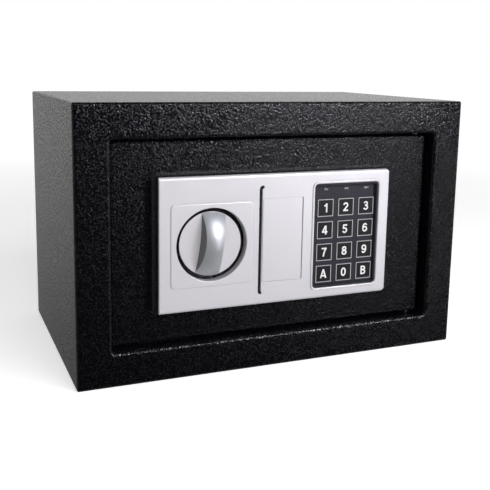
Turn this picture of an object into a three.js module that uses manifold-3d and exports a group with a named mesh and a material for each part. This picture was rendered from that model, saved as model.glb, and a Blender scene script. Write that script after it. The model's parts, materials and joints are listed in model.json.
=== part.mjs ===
// A small electronic safe: folded steel cabinet, pivoting plate door, knob, keypad, bolt work
// with a solenoid lock, key override and battery tray. Millimetres, +Z up, +X to the right as
// seen from the front. Inside the group, y is the depth behind the cabinet's front face.
import * as THREE from "three";
import { mergeVertices } from "three/addons/utils/BufferGeometryUtils.js";
import Module from "manifold-3d";

const wasm = await Module();
wasm.setup();

// ---- driving dimensions -------------------------------------------------------------------

const GAP = 0.3; // clearance between pieces that touch
const CABINET = { w: 310, h: 200, d: 190, sheet: 1.2, bend: 3 };
const OPENING = { w: 260, h: 150, corner: 2.5 }; // clear opening inside the front border
const RETURN = { topBottom: 21, left: 15, right: 10.5, flange: 12 }; // depths of the returns
const ANCHOR = { r: 5, x: 100, baseY: 100 };
const ANCHOR_CLEAR = 6; // radius of the floor mat's holes over the anchor holes
const MAT = { w: 300, front: 5, back: 186, t: 2, corner: 4 };
const STOP = { x0: -110, x1: -70, seat: 1.5, reach: 8, clear: 0.5, t: 1.5, back: 20 };

const DOOR = { w: 257, h: 146, front: 10, t: 3, corner: 1 };
const CABLE_SLOT = { w: 14, h: 6, corner: 2.5, z: 60 }; // behind the fascia, for the wiring
const HINGE = { x: 121.5, y: 15.5, pin: 2.5, bore: 2.7, play: 0.1 };
const HINGE_BLOCK = { w: 10, h: 14, inset: 1 };
const HINGE_PIN = { low: 60, high: 79.5 }; // both measured from the door's middle
const LINER = { x0: -104, x1: 112, h: 126, back: 44, sheet: 1, corner: 4, bend: 3 };
const LINER_SCREW = { xs: [-96, 104], zs: [45, 155], stud: 3.5, shank: 1.5, head: 3.5, reach: 9 };
const SCREW_HEAD = { rim: 1.1, crown: 2, flat: 2.2, cross: 2, crossWidth: 0.8, crossFloor: 1 };
const THREAD_START = 20; // depth of the studs' threaded bores behind the door plate

const MID_Z = CABINET.h / 2;
const FASCIA = { cx: -3.3, cz: 98.8, w: 186.2, h: 98.4, front: -0.1, back: 2, corner: 2.5, bend: 2 };
const BASE = { front: 2.3, back: 9.7, flare: 2.5, floor: 8.2, well: 28.4 };
const KNOB = { x: -57, z: 98.2, well: 26.9, disc: 23.7, face: 3.5, back: 7.5, proud: -8, edge: 0.8 };
const PANEL = { x: KNOB.x + 0.2, z: KNOB.z - 0.4, w: 62.2, h: 60.8, corner: 3, rise: 0.4 }; // boss
const COLLAR = { r: 28, back: 6 }; // the fascia's own wall round the knob
const GRIP = { half: 23.2, end: 18.2, waist: 13.1, base: KNOB.face - GAP, tilt: 6.3 };
const SPINDLE_R = 4;
const COVER = { cx: -0.9, cz: 97.9, w: 32.2, h: 63, front: 0.7, t: 1, corner: 0.6 };
const COVER_POCKET = { w: COVER.w + 0.8, h: COVER.h + 0.6, corner: 0.8, floor: 7.5 };
const CLIP = { w: 10, t: 1.6, inset: 2.5, back: 6 }; // springy tongues behind the cover
const FINGER = { x: COVER.cx - COVER_POCKET.w / 2 - 1.7, w: 2.4, h: 82.4, corner: 1.19 };
const KEYPAD = { cx: 52.8, cz: 98.1, w: 55.6, h: 81, corner: 3, face: 3.2, t: 0.8, rim: 0.2 };
const KEYPAD_LIP = { w: 1.6, rise: 0.3, wall: 0.9 }; // round the window, and the tray's own wall
const TRAY_PLATE = { w: 59.6, h: 89.6, cz: KEYPAD.cz + 0.7, corner: 2 };
const TRAY_POCKET = { w: 61, h: 91, corner: 3, floor: 9 };
const KEY_MAT = { w: 58, h: 74, cz: 92, corner: 2, front: 5.5, back: 6.5 };
const CIRCUIT = { w: 59, h: 89, cz: 98.8, corner: 2, front: 6.8, back: 8.4 };
const KEY = { w: 13.7, face: 2.8, skirt: 15.4, skirtT: 0.6, skirtCorner: 1, hole: 14.1, corner: 1.2 };
const KEY_COLUMNS = [35.8, 53.5, 71.2];
const KEY_ROWS = [119.4, 102.1, 84.8, 67.7];
const KEY_NAMES = ["1", "2", "3", "4", "5", "6", "7", "8", "9", "A", "0", "B"];
const LED = { z: 133.7, w: 4, h: 1.6, xs: [35.8, 53.3, 70.4] };
const LIGHT_GUIDE = { x0: 30, x1: 76, h: 5.2, back: 5 };

const BOLT = { r: 8, y: 24, rise: 32, tip: -127, tail: -88.3, bore: 3.3, boreDepth: 14.7 };
const BOLT_SCREW = { r: 3, head: 5.5, headT: 3.5, length: 12.7 };
const GUIDE = { x0: -116, t: 2, foot: 10, back: 36, z0: 50, z1: 148 };
const CRANK_SLOT = { w: 5.8, h: 10.5, corner: 2.8 }; // upright, so the pin only drives sideways
const CRANK = { throw: 14, swing: 30, r: 18, front: 27, back: 30, pin: 2.5 };
const CARRIAGE = { x0: -88, x1: -36, z0: 80, z1: 120, front: 32, t: 2, flangeH: 84, top: 16 };
const TOOTH = { x0: -48, x1: -42.5, drop: 6 };
const SOLENOID = { x: -52, y: 33, w: 18, d: 13, z0: 42, z1: 64, wall: 1.5, coil: 6.5, foot: 9 };
const PLUNGER = { r: 2.5, z0: 48, tip: 73.2, collar: 3.5, collarZ: 70.6, collarT: 1.4 };
const SPRING = { r: 3.2, wire: 0.35, turns: 4 };
const LOCK = { x: -1, z: 98, r: 9.5, front: 2.6, back: 30, plug: 6, plugBack: 33, tail: 4, end: 37 };
const LOCK_NUT = { r: 14, front: 13.3, t: 4 };
const LOCK_CAM = { w: 12, length: 28, front: 33.3, t: 2 };
const KEYWAY = { w: 2.2, h: 8, depth: 12 };
const TRAY = { cx: 58, cz: 100, w: 68, h: 58, front: 20, back: 42.6, wall: 1.5 };
const HATCH = { w: TRAY.w - 4, h: TRAY.h - 4, corner: 2 }; // in the liner, over the battery tray
const CELL = { r: 7.1, length: 48, y: 29.5, pitch: 15.6 };
const CELL_TIP = { r: 2.7, h: 1.4 };
const BATTERY_LID = { lap: 1, t: 2, corner: 3, rim: 2.5, rimWall: 1.5, rimDepth: 3 };
const RESET = { x: 103, z: 98, r: 3, body: 5.5, front: 28, floor: 33, tail: 36, proud: 2, play: 0.4 };

// ---- finishes -----------------------------------------------------------------------------

const finish = (color, roughness, metalness) =>
  new THREE.MeshStandardMaterial({ color, roughness, metalness });
const POWDER_COAT = finish(0x161619, 0.5, 0.2);
const SILVER_PLASTIC = finish(0xc9c8cc, 0.4, 0.35);
const BLACK_PLASTIC = finish(0x1c1c1f, 0.55, 0);
const GRIP_PLATING = finish(0xdde0e2, 0.25, 0.8);
const KEY_RUBBER = finish(0x2b2b30, 0.6, 0);
const LENS = finish(0x8d9096, 0.2, 0);
const BRIGHT_STEEL = finish(0xb8babd, 0.3, 1);
const ZINC = finish(0x9fa3a6, 0.45, 0.9);
const BRASS = finish(0xb59a54, 0.35, 1);
const COPPER = finish(0x9c5a35, 0.4, 0.8);
const BOARD = finish(0x1f5136, 0.6, 0);
const CARPET = finish(0x33343a, 0.95, 0);
const CELL_SLEEVE = finish(0x3a4048, 0.4, 0.2);
const RED_PLASTIC = finish(0xa81d1d, 0.45, 0);

// ---- solids -------------------------------------------------------------------------------

function toSolid(geometry) {
  const bare = geometry.clone();
  bare.deleteAttribute("normal");
  bare.deleteAttribute("uv");
  const merged = mergeVertices(bare, 1e-4);
  return new wasm.Manifold(
    new wasm.Mesh({
      numProp: 3,
      vertProperties: merged.attributes.position.array,
      triVerts: Uint32Array.from(merged.index.array),
    }),
  );
}

function toGeometry(solid) {
  const { vertProperties, triVerts } = solid.getMesh();
  const geometry = new THREE.BufferGeometry();
  geometry.setAttribute("position", new THREE.BufferAttribute(vertProperties, 3));
  geometry.setIndex(new THREE.BufferAttribute(triVerts, 1));
  geometry.computeVertexNormals();
  return geometry;
}

const cut = (base, ...tools) =>
  toGeometry(tools.reduce((solid, tool) => solid.subtract(toSolid(tool)), toSolid(base)));
const join = (base, ...parts) =>
  toGeometry(parts.reduce((solid, part) => solid.add(toSolid(part)), toSolid(base)));
const common = (a, b) => toGeometry(toSolid(a).intersect(toSolid(b)));

// ---- outlines and prisms ------------------------------------------------------------------

// Points of a rounded rectangle, anticlockwise in (x, z) from its lower right corner.
function roundedRect(w, h, r, cx = 0, cz = 0, steps = 4) {
  const points = [];
  for (let corner = 0; corner < 4; corner++) {
    const sx = corner === 0 || corner === 3 ? 1 : -1;
    const sz = corner === 0 || corner === 1 ? 1 : -1;
    for (let i = 0; i <= steps; i++) {
      const a = (corner + i / steps) * (Math.PI / 2);
      const x = cx + sx * (w / 2 - r) + r * Math.cos(a);
      points.push(new THREE.Vector2(x, cz + sz * (h / 2 - r) + r * Math.sin(a)));
    }
  }
  return points;
}

function circle(r, cx = 0, cz = 0, steps = 24) {
  const points = [];
  for (let i = 0; i < steps; i++) {
    const a = (i / steps) * 2 * Math.PI;
    points.push(new THREE.Vector2(cx + r * Math.cos(a), cz + r * Math.sin(a)));
  }
  return points;
}

// A flat piece: the outline and its holes in (x, z), between the depths front and back.
function slab(outline, front, back, holes = []) {
  const shape = new THREE.Shape(outline);
  shape.holes = holes.map((points) => new THREE.Path(points));
  const geometry = new THREE.ExtrudeGeometry(shape, { depth: back - front, bevelEnabled: false });
  return geometry.rotateX(Math.PI / 2).translate(0, back, 0);
}

// A solid through rounded rectangles { y, w, h, r } of rising depth y.
function loft(sections, cx = 0, cz = MID_Z) {
  const rings = sections.map((s) => roundedRect(s.w, s.h, s.r, cx, cz));
  const count = rings[0].length;
  const position = rings.flatMap((ring, i) => ring.flatMap((p) => [p.x, sections[i].y, p.y]));
  const index = [];
  for (let i = 1; i < count - 1; i++) {
    const last = (rings.length - 1) * count;
    index.push(0, i, i + 1, last, last + i + 1, last + i);
  }
  for (let ring = 0; ring < rings.length - 1; ring++) {
    for (let i = 0; i < count; i++) {
      const a = ring * count + i;
      const b = ring * count + ((i + 1) % count);
      index.push(a, a + count, b, b, a + count, b + count);
    }
  }
  const geometry = new THREE.BufferGeometry();
  geometry.setAttribute("position", new THREE.Float32BufferAttribute(position, 3));
  geometry.setIndex(index);
  return geometry;
}

function block(x0, x1, y0, y1, z0, z1) {
  const box = new THREE.BoxGeometry(x1 - x0, y1 - y0, z1 - z0);
  return box.translate((x0 + x1) / 2, (y0 + y1) / 2, (z0 + z1) / 2);
}

// Round bars along each axis: the centre line's other two coordinates, then both ends.
const barY = (r, x, z, y0, y1, steps = 24) =>
  new THREE.CylinderGeometry(r, r, y1 - y0, steps).translate(x, (y0 + y1) / 2, z);
const barZ = (r, x, y, z0, z1, steps = 24) =>
  new THREE.CylinderGeometry(r, r, z1 - z0, steps)
    .rotateX(Math.PI / 2)
    .translate(x, y, (z0 + z1) / 2);
const barX = (r, y, z, x0, x1, steps = 24) =>
  new THREE.CylinderGeometry(r, r, x1 - x0, steps)
    .rotateZ(Math.PI / 2)
    .translate((x0 + x1) / 2, y, z);

// ---- the assembly -------------------------------------------------------------------------

const safe = new THREE.Group();
safe.position.y = -(CABINET.d + KNOB.proud) / 2; // origin under the middle of the whole depth

function piece(name, geometry, material) {
  const mesh = new THREE.Mesh(geometry, material);
  mesh.name = name;
  safe.add(mesh);
  return mesh;
}

// ---- cabinet ------------------------------------------------------------------------------

// Insets of a rounded edge of radius r that turns from a face at depth y0 into a side wall.
function edgeRound(w, h, corner, r, y0, steps = 3) {
  const sections = [];
  for (let i = 0; i <= steps; i++) {
    const a = ((i / steps) * Math.PI) / 2;
    const inset = r * (1 - Math.sin(a));
    const ring = { w: w - 2 * inset, h: h - 2 * inset, r: corner + r - inset };
    sections.push({ y: y0 + r * (1 - Math.cos(a)), ...ring });
  }
  return sections;
}

// The flare of the opening's rolled lip, widest at the front face.
function lipFlare(w, h, corner, r, y0, steps = 3) {
  const sections = [];
  for (let i = 0; i <= steps; i++) {
    const a = ((i / steps) * Math.PI) / 2;
    const out = r * (1 - Math.sin(a));
    const ring = { w: w + 2 * out, h: h + 2 * out, r: corner + out };
    sections.push({ y: y0 + r * (1 - Math.cos(a)), ...ring });
  }
  return sections;
}

function bodyShell() {
  const { w, h, d, sheet, bend } = CABINET;
  const outer = edgeRound(w, h, 0.2, bend, 0);
  outer.push({ ...outer.at(-1), y: d });
  const room = { w: w - 2 * sheet, h: h - 2 * sheet, r: bend - sheet };
  const cavity = loft([{ y: sheet, ...room }, { y: d + 1, ...room }]);

  const inside = lipFlare(OPENING.w, OPENING.h, OPENING.corner, bend, 0);
  inside.unshift({ ...inside[0], y: -1 });
  inside.push({ ...inside.at(-1), y: d });
  const wide = { w: OPENING.w + 2 * sheet, h: OPENING.h + 2 * sheet, r: OPENING.corner + sheet };
  const outside = lipFlare(wide.w, wide.h, wide.r, bend - sheet, sheet);
  outside.push({ ...outside.at(-1), y: RETURN.topBottom });

  const edge = OPENING.w / 2;
  const deep = RETURN.topBottom + 1;
  const low = MID_Z - OPENING.h / 2;
  const high = MID_Z + OPENING.h / 2;
  const shortLeft = block(-edge - 5, -edge + 1, RETURN.left, deep, low - 5, high + 5);
  const shortRight = block(edge - 1, edge + 5, RETURN.right, deep, low - 5, high + 5);
  const returns = cut(loft(outside), shortLeft, shortRight);
  const flangeFront = RETURN.left - sheet;
  const x0 = -edge - RETURN.flange;
  const strike = block(x0, -edge, flangeFront, RETURN.left, low + 2, high - 2);

  const pivot = barZ(HINGE.bore, HINGE.x, HINGE.y, 5, CABINET.h - 5);
  const anchors = [-1, 1].map((s) => barZ(ANCHOR.r, s * ANCHOR.x, ANCHOR.baseY, -1, 5));
  const shell = join(cut(loft(outer), cavity), returns, strike);
  return cut(shell, loft(inside), pivot, ...anchors);
}
piece("body_shell", bodyShell(), POWDER_COAT);

function rearPanel() {
  const side = 2 * (CABINET.sheet + GAP);
  const outline = roundedRect(CABINET.w - side, CABINET.h - side, 1.5, 0, MID_Z);
  const holes = [-1, 1].map((s) => circle(ANCHOR.r, s * ANCHOR.x, MID_Z));
  return slab(outline, CABINET.d - CABINET.sheet, CABINET.d, holes);
}
piece("rear_panel", rearPanel(), POWDER_COAT);

function floorMat() {
  const z = CABINET.sheet + GAP;
  const shape = new THREE.Shape(
    roundedRect(MAT.w, MAT.back - MAT.front, MAT.corner, 0, (MAT.front + MAT.back) / 2),
  );
  shape.holes = [-1, 1].map(
    (s) => new THREE.Path(circle(ANCHOR_CLEAR, s * ANCHOR.x, ANCHOR.baseY)),
  );
  return new THREE.ExtrudeGeometry(shape, { depth: MAT.t, bevelEnabled: false }).translate(0, 0, z);
}
piece("floor_mat", floorMat(), CARPET);

// Angle tabs that the closed door plate comes to rest against.
function doorStop(side) {
  const { x0, x1, t, back } = STOP;
  const wall = MID_Z + side * (OPENING.h / 2 - GAP);
  const front = DOOR.front + DOOR.t + STOP.clear;
  const span = (depth) => [wall, wall - side * depth].sort((a, b) => a - b);
  const tab = block(x0, x1, front, front + t, ...span(STOP.reach));
  return join(tab, block(x0, x1, front, back, ...span(STOP.seat)));
}
piece("door_stop_upper", doorStop(1), POWDER_COAT);
piece("door_stop_lower", doorStop(-1), POWDER_COAT);

// ---- door ---------------------------------------------------------------------------------

const DOOR_BACK = DOOR.front + DOOR.t;
const screwPlaces = LINER_SCREW.xs.flatMap((x) => LINER_SCREW.zs.map((z) => [x, z]));

function doorPlate() {
  const holes = [
    circle(SPINDLE_R + 0.5, KNOB.x, KNOB.z),
    circle(LOCK.r + 0.3, LOCK.x, LOCK.z),
    roundedRect(CABLE_SLOT.w, CABLE_SLOT.h, CABLE_SLOT.corner, TRAY.cx, CABLE_SLOT.z),
  ];
  const outline = roundedRect(DOOR.w, DOOR.h, DOOR.corner, 0, MID_Z);
  const studs = screwPlaces.map(([x, z]) =>
    barY(LINER_SCREW.stud, x, z, DOOR_BACK - 1, LINER.back - LINER.sheet - GAP, 6),
  );
  const threads = screwPlaces.map(([x, z]) =>
    barY(LINER_SCREW.shank + GAP, x, z, DOOR_BACK + THREAD_START, LINER.back, 12),
  );
  return cut(join(slab(outline, DOOR.front, DOOR_BACK, holes), ...studs), ...threads);
}
piece("door_plate", doorPlate(), POWDER_COAT);

function doorLiner() {
  const cx = (LINER.x0 + LINER.x1) / 2;
  const w = LINER.x1 - LINER.x0;
  const front = DOOR_BACK + GAP;
  const outer = edgeRound(w, LINER.h, LINER.corner - LINER.bend, LINER.bend, 0);
  const rings = outer.map((s) => ({ ...s, y: LINER.back - s.y })).reverse();
  rings.unshift({ ...rings[0], y: front });
  const t = LINER.sheet;
  const room = { w: w - 2 * t, h: LINER.h - 2 * t, r: LINER.corner - t };
  const hollow = loft([{ y: front - 1, ...room }, { y: LINER.back - t, ...room }], cx);
  const boltHoles = [-1, 1].map((s) =>
    barX(BOLT.r + 0.7, BOLT.y, KNOB.z + s * BOLT.rise, LINER.x0 - 2, LINER.x0 + 5),
  );
  const screwHoles = screwPlaces.map(([x, z]) =>
    barY(LINER_SCREW.shank + 0.4, x, z, LINER.back - 2, LINER.back + 1, 12),
  );
  const hatch = slab(
    roundedRect(HATCH.w, HATCH.h, HATCH.corner, TRAY.cx, TRAY.cz),
    LINER.back - 2,
    LINER.back + 1,
  );
  const resetR = RESET.r + RESET.play;
  const resetHole = barY(resetR, RESET.x, RESET.z, LINER.back - 2, LINER.back + 1);
  return cut(loft(rings, cx), hollow, hatch, resetHole, ...boltHoles, ...screwHoles);
}
piece("door_liner", doorLiner(), POWDER_COAT);

function linerScrew() {
  const head = LINER.back + GAP;
  const tip = head - LINER_SCREW.reach;
  const { rim, crown, flat, cross, crossWidth, crossFloor } = SCREW_HEAD;
  const profile = [
    [0, tip],
    [LINER_SCREW.shank, tip],
    [LINER_SCREW.shank, head],
    [LINER_SCREW.head, head],
    [LINER_SCREW.head, head + rim],
    [flat, head + crown],
    [0, head + crown],
  ].map(([r, y]) => new THREE.Vector2(r, y));
  const slot = (x, z) => block(-x, x, head + crossFloor, head + crown + 1, -z, z);
  const half = crossWidth / 2;
  return cut(new THREE.LatheGeometry(profile, 16), slot(cross, half), slot(half, cross));
}
screwPlaces.forEach(([x, z], i) => {
  piece(`liner_screw_${i + 1}`, linerScrew(), ZINC).position.set(x, 0, z);
});

// Pivot blocks welded behind the plate's hinge edge, and the pins that stand in the returns.
function hingeBlock(side) {
  const half = HINGE_BLOCK.w / 2;
  const z = MID_Z + side * (DOOR.h / 2 - HINGE_BLOCK.inset - HINGE_BLOCK.h / 2);
  const body = block(
    HINGE.x - half,
    HINGE.x + half,
    DOOR_BACK + GAP,
    HINGE.y + half,
    z - HINGE_BLOCK.h / 2,
    z + HINGE_BLOCK.h / 2,
  );
  const reach = HINGE_BLOCK.h;
  return cut(body, barZ(HINGE.pin + HINGE.play, HINGE.x, HINGE.y, z - reach, z + reach));
}
function hingePin(side) {
  const ends = [HINGE_PIN.low, HINGE_PIN.high].map((z) => MID_Z + side * z).sort((a, b) => a - b);
  return barZ(HINGE.pin, HINGE.x, HINGE.y, ...ends);
}
for (const [place, side] of [["upper", 1], ["lower", -1]]) {
  piece(`hinge_block_${place}`, hingeBlock(side), POWDER_COAT);
  piece(`hinge_pin_${place}`, hingePin(side), BRIGHT_STEEL);
}

// ---- fascia -------------------------------------------------------------------------------

const coverOpening = (grow) =>
  roundedRect(COVER_POCKET.w, COVER_POCKET.h, COVER_POCKET.corner + grow, COVER.cx, COVER.cz);

function fasciaBase() {
  const { cx, cz, w, h, corner } = FASCIA;
  const wide = { w: w + 2 * BASE.flare, h: h + 2 * BASE.flare, r: corner + BASE.flare };
  const body = loft([{ y: BASE.front, w, h, r: corner }, { y: BASE.back, ...wide }], cx, cz);
  const well = barY(BASE.well, KNOB.x, KNOB.z, 0, BASE.floor, 48);
  const spindle = barY(SPINDLE_R + 0.5, KNOB.x, KNOB.z, 0, 12);
  const pocket = roundedRect(
    TRAY_POCKET.w,
    TRAY_POCKET.h,
    TRAY_POCKET.corner,
    KEYPAD.cx,
    TRAY_PLATE.cz,
  );
  const keypad = slab(pocket, 0, TRAY_POCKET.floor);
  const cover = slab(coverOpening(0.2), 0, COVER_POCKET.floor);
  return cut(body, well, spindle, keypad, cover, barY(LOCK.r + 0.3, LOCK.x, LOCK.z, 0, 12));
}
piece("fascia_base", fasciaBase(), BLACK_PLASTIC);

function fascia() {
  const { cx, cz, w, h, front, back, corner, bend } = FASCIA;
  const rings = edgeRound(w, h, corner - bend, bend, front);
  rings.push({ ...rings.at(-1), y: back });
  const through = [front - 1, back + 1];
  const panel = roundedRect(PANEL.w, PANEL.h, PANEL.corner, PANEL.x, PANEL.z);
  const window = (grow) =>
    roundedRect(
      KEYPAD.w + 2 * grow,
      KEYPAD.h + 2 * grow,
      KEYPAD.corner + grow,
      KEYPAD.cx,
      KEYPAD.cz,
    );
  const plate = join(
    loft(rings, cx, cz),
    barY(COLLAR.r, KNOB.x, KNOB.z, back - 1, COLLAR.back, 48),
    slab(panel, front - PANEL.rise, front + 1),
    slab(window(KEYPAD_LIP.w), front - KEYPAD_LIP.rise, front + 1),
  );
  return cut(
    plate,
    barY(KNOB.well, KNOB.x, KNOB.z, front - 1, COLLAR.back + 1, 48),
    slab(window(0), ...through),
    slab(coverOpening(0), ...through),
    slab(roundedRect(FINGER.w, FINGER.h, FINGER.corner, FINGER.x, COVER.cz), ...through),
  );
}
piece("fascia", fascia(), SILVER_PLASTIC);

function overrideCover() {
  const { cx, cz, w, h, front, t, corner } = COVER;
  const back = front + t;
  const clips = [-1, 1].map((s) => {
    const z = cz + s * (h / 2 - CLIP.inset);
    return block(cx - CLIP.w / 2, cx + CLIP.w / 2, back - 0.5, CLIP.back, z - CLIP.t / 2, z + CLIP.t / 2);
  });
  return join(slab(roundedRect(w, h, corner, cx, cz), front, back), ...clips);
}
piece("override_cover", overrideCover(), SILVER_PLASTIC);

// ---- keypad -------------------------------------------------------------------------------

const keyPlaces = KEY_ROWS.flatMap((z) => KEY_COLUMNS.map((x) => [x, z]));

function keypadPlate() {
  const holes = keyPlaces.map(([x, z]) => roundedRect(KEY.hole, KEY.hole, 1.3, x, z, 2));
  LED.xs.forEach((x) => holes.push(roundedRect(LED.w + 0.4, LED.h + 0.4, 0.3, x, LED.z, 1)));
  const plate = TRAY_PLATE;
  const outline = roundedRect(plate.w, plate.h, plate.corner, KEYPAD.cx, plate.cz);
  const { cx, cz, w, h, corner, face, rim } = KEYPAD;
  const wall = (inset) =>
    roundedRect(w - 2 * inset, h - 2 * inset, corner - inset, cx, cz);
  const lip = slab(wall(GAP), rim, face + 0.5, [wall(GAP + KEYPAD_LIP.wall)]);
  return join(slab(outline, face, face + KEYPAD.t, holes), lip);
}
piece("keypad_plate", keypadPlate(), BLACK_PLASTIC);

function keyCap() {
  const skirtFront = KEYPAD.face + KEYPAD.t + 0.2;
  const cap = slab(roundedRect(KEY.w, KEY.w, KEY.corner, 0, 0, 2), KEY.face, skirtFront + 0.1);
  const skirt = roundedRect(KEY.skirt, KEY.skirt, KEY.skirtCorner, 0, 0, 1);
  return join(cap, slab(skirt, skirtFront, skirtFront + KEY.skirtT));
}
keyPlaces.forEach(([x, z], i) => {
  piece(`key_${KEY_NAMES[i]}`, keyCap(), KEY_RUBBER).position.set(x, 0, z);
});

function indicatorLens() {
  const { x0, x1, h, back } = LIGHT_GUIDE;
  const front = KEYPAD.face + KEYPAD.t + GAP;
  const strip = block(x0, x1, front, back, LED.z - h / 2, LED.z + h / 2);
  const low = LED.z - LED.h / 2;
  const windows = LED.xs.map((x) =>
    block(x - LED.w / 2, x + LED.w / 2, KEYPAD.face - 0.1, front + 0.3, low, low + LED.h),
  );
  return join(strip, ...windows);
}
piece("indicator_lens", indicatorLens(), LENS);

// A flat piece behind the keypad.
const layer = ({ w, h, cz, corner, front, back }) =>
  slab(roundedRect(w, h, corner, KEYPAD.cx, cz), front, back);
piece("keypad_mat", layer(KEY_MAT), KEY_RUBBER);
piece("circuit_board", layer(CIRCUIT), BOARD);

// ---- knob ---------------------------------------------------------------------------------

const knob = new THREE.Group();
knob.position.set(KNOB.x, 0, KNOB.z);
safe.add(knob);

function knobPiece(name, geometry, material) {
  knob.add(piece(name, geometry, material));
}

function knobDisc() {
  const profile = [
    [0, KNOB.face],
    [KNOB.disc - KNOB.edge, KNOB.face],
    [KNOB.disc, KNOB.face + KNOB.edge],
    [KNOB.disc, KNOB.back],
    [0, KNOB.back],
  ].map(([r, y]) => new THREE.Vector2(r, y));
  return new THREE.LatheGeometry(profile, 48);
}

// An arch across the disc, narrowest at its middle.
function knobGrip() {
  const rise = GRIP.base - KNOB.proud;
  const radius = (GRIP.half ** 2 + rise ** 2) / (2 * rise);
  const reach = Math.asin(GRIP.half / radius);
  const side = [];
  const steps = 14;
  for (let i = 0; i <= steps; i++) {
    const a = reach * ((2 * i) / steps - 1);
    side.push(new THREE.Vector2(radius * Math.sin(a), KNOB.proud + radius * (1 - Math.cos(a))));
  }
  const arch = new THREE.ExtrudeGeometry(new THREE.Shape(side), {
    depth: GRIP.end + 2,
    bevelEnabled: false,
  });
  // (z, y, x) of the profile's own axes become the part's axes
  arch.applyMatrix4(new THREE.Matrix4().set(0, 0, 1, 0, 0, 1, 0, 0, -1, 0, 0, 0, 0, 0, 0, 1));
  arch.translate(-GRIP.end / 2 - 1, 0, 0);
  const plan = [];
  const half = (z) => {
    const t = Math.min(1, Math.abs(z) / GRIP.half);
    return (GRIP.waist + (GRIP.end - GRIP.waist) * t * t) / 2;
  };
  for (let i = 0; i <= steps; i++) {
    const z = GRIP.half * 1.02 * ((2 * i) / steps - 1);
    plan.push(new THREE.Vector2(half(z), z));
  }
  for (let i = steps; i >= 0; i--) {
    const z = GRIP.half * 1.02 * ((2 * i) / steps - 1);
    plan.push(new THREE.Vector2(-half(z), z));
  }
  const tilt = THREE.MathUtils.degToRad(GRIP.tilt);
  const trimmed = common(arch, slab(plan, KNOB.proud - 1, KNOB.face));
  return common(trimmed, barY(KNOB.disc, 0, 0, KNOB.proud - 1, KNOB.face, 48)).rotateY(tilt);
}

// Cam disc and pin, drawn with the pin at the bolts' withdrawn end of its swing.
function knobCrank() {
  const a = THREE.MathUtils.degToRad(CRANK.swing);
  const x = CRANK.throw * Math.sin(a);
  const z = CRANK.throw * Math.cos(a);
  const disc = barY(CRANK.r, 0, 0, CRANK.front, CRANK.back, 32);
  return join(disc, barY(CRANK.pin, x, z, CRANK.back - 0.5, CRANK.back + 5.5, 16));
}
knobPiece("knob_disc", knobDisc(), SILVER_PLASTIC);
knobPiece("knob_grip", knobGrip(), GRIP_PLATING);
knobPiece("knob_spindle", barY(SPINDLE_R, 0, 0, KNOB.back + GAP, CRANK.front - GAP), BRIGHT_STEEL);
knobPiece("knob_crank", knobCrank(), ZINC);

// ---- bolt work ----------------------------------------------------------------------------

// Angle bracket at the door's free edge that both bolts slide through.
function boltGuide() {
  const front = DOOR_BACK + GAP;
  const { x0, t, foot, back, z0, z1 } = GUIDE;
  const wall = block(x0, x0 + t, front, back, z0, z1);
  const base = block(x0, x0 + foot, front, front + t, z0, z1);
  const bores = [-1, 1].map((s) =>
    barX(BOLT.r + 0.2, BOLT.y, KNOB.z + s * BOLT.rise, x0 - 1, x0 + foot + 1, 32),
  );
  return cut(join(wall, base), ...bores);
}
piece("bolt_guide", boltGuide(), ZINC);

function bolt() {
  const profile = [
    [0, 0],
    [BOLT.r - 1, 0],
    [BOLT.r, 1],
    [BOLT.r, BOLT.tail - BOLT.tip],
    [0, BOLT.tail - BOLT.tip],
  ].map(([r, y]) => new THREE.Vector2(r, y));
  const body = new THREE.LatheGeometry(profile, 32).rotateZ(-Math.PI / 2);
  const length = BOLT.tail - BOLT.tip;
  return cut(body, barX(BOLT.bore, 0, 0, length - BOLT.boreDepth, length + 1, 12));
}
function boltScrew() {
  const { r, head, headT, length } = BOLT_SCREW;
  const tail = BOLT.tail - BOLT.tip;
  const shank = barX(r, 0, 0, tail - length, tail + 3, 12);
  const seat = CARRIAGE.x0 + CARRIAGE.t + GAP - BOLT.tip;
  return join(shank, barX(head, 0, 0, seat, seat + headT, 6));
}
for (const [place, side] of [["upper", 1], ["lower", -1]]) {
  const z = KNOB.z + side * BOLT.rise;
  piece(`bolt_${place}`, bolt(), BRIGHT_STEEL).position.set(BOLT.tip, BOLT.y, z);
  piece(`bolt_screw_${place}`, boltScrew(), ZINC).position.set(BOLT.tip, BOLT.y, z);
}

// Sliding plate: flange for the bolts, slot for the crank pin, tooth for the solenoid.
function boltCarriage() {
  const { x0, x1, z0, z1, front, t, flangeH, top } = CARRIAGE;
  const back = front + t;
  const flange = block(x0, x0 + t, top, back, KNOB.z - flangeH / 2, KNOB.z + flangeH / 2);
  const plate = block(x0, x1, front, back, z0, z1);
  const tooth = block(TOOTH.x0, TOOTH.x1, front, back, z0 - TOOTH.drop, z0 + 1);
  const a = THREE.MathUtils.degToRad(CRANK.swing);
  const slotX = KNOB.x + CRANK.throw * Math.sin(a);
  const slotZ = KNOB.z + (CRANK.throw * (1 + Math.cos(a))) / 2;
  const outline = roundedRect(CRANK_SLOT.w, CRANK_SLOT.h, CRANK_SLOT.corner, slotX, slotZ);
  const slot = slab(outline, front - 1, back + 1);
  const bores = [-1, 1].map((s) =>
    barX(BOLT.bore, BOLT.y, KNOB.z + s * BOLT.rise, x0 - 1, x0 + t + 1, 12),
  );
  return cut(join(plate, flange, tooth), slot, ...bores);
}
piece("bolt_carriage", boltCarriage(), ZINC);

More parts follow.
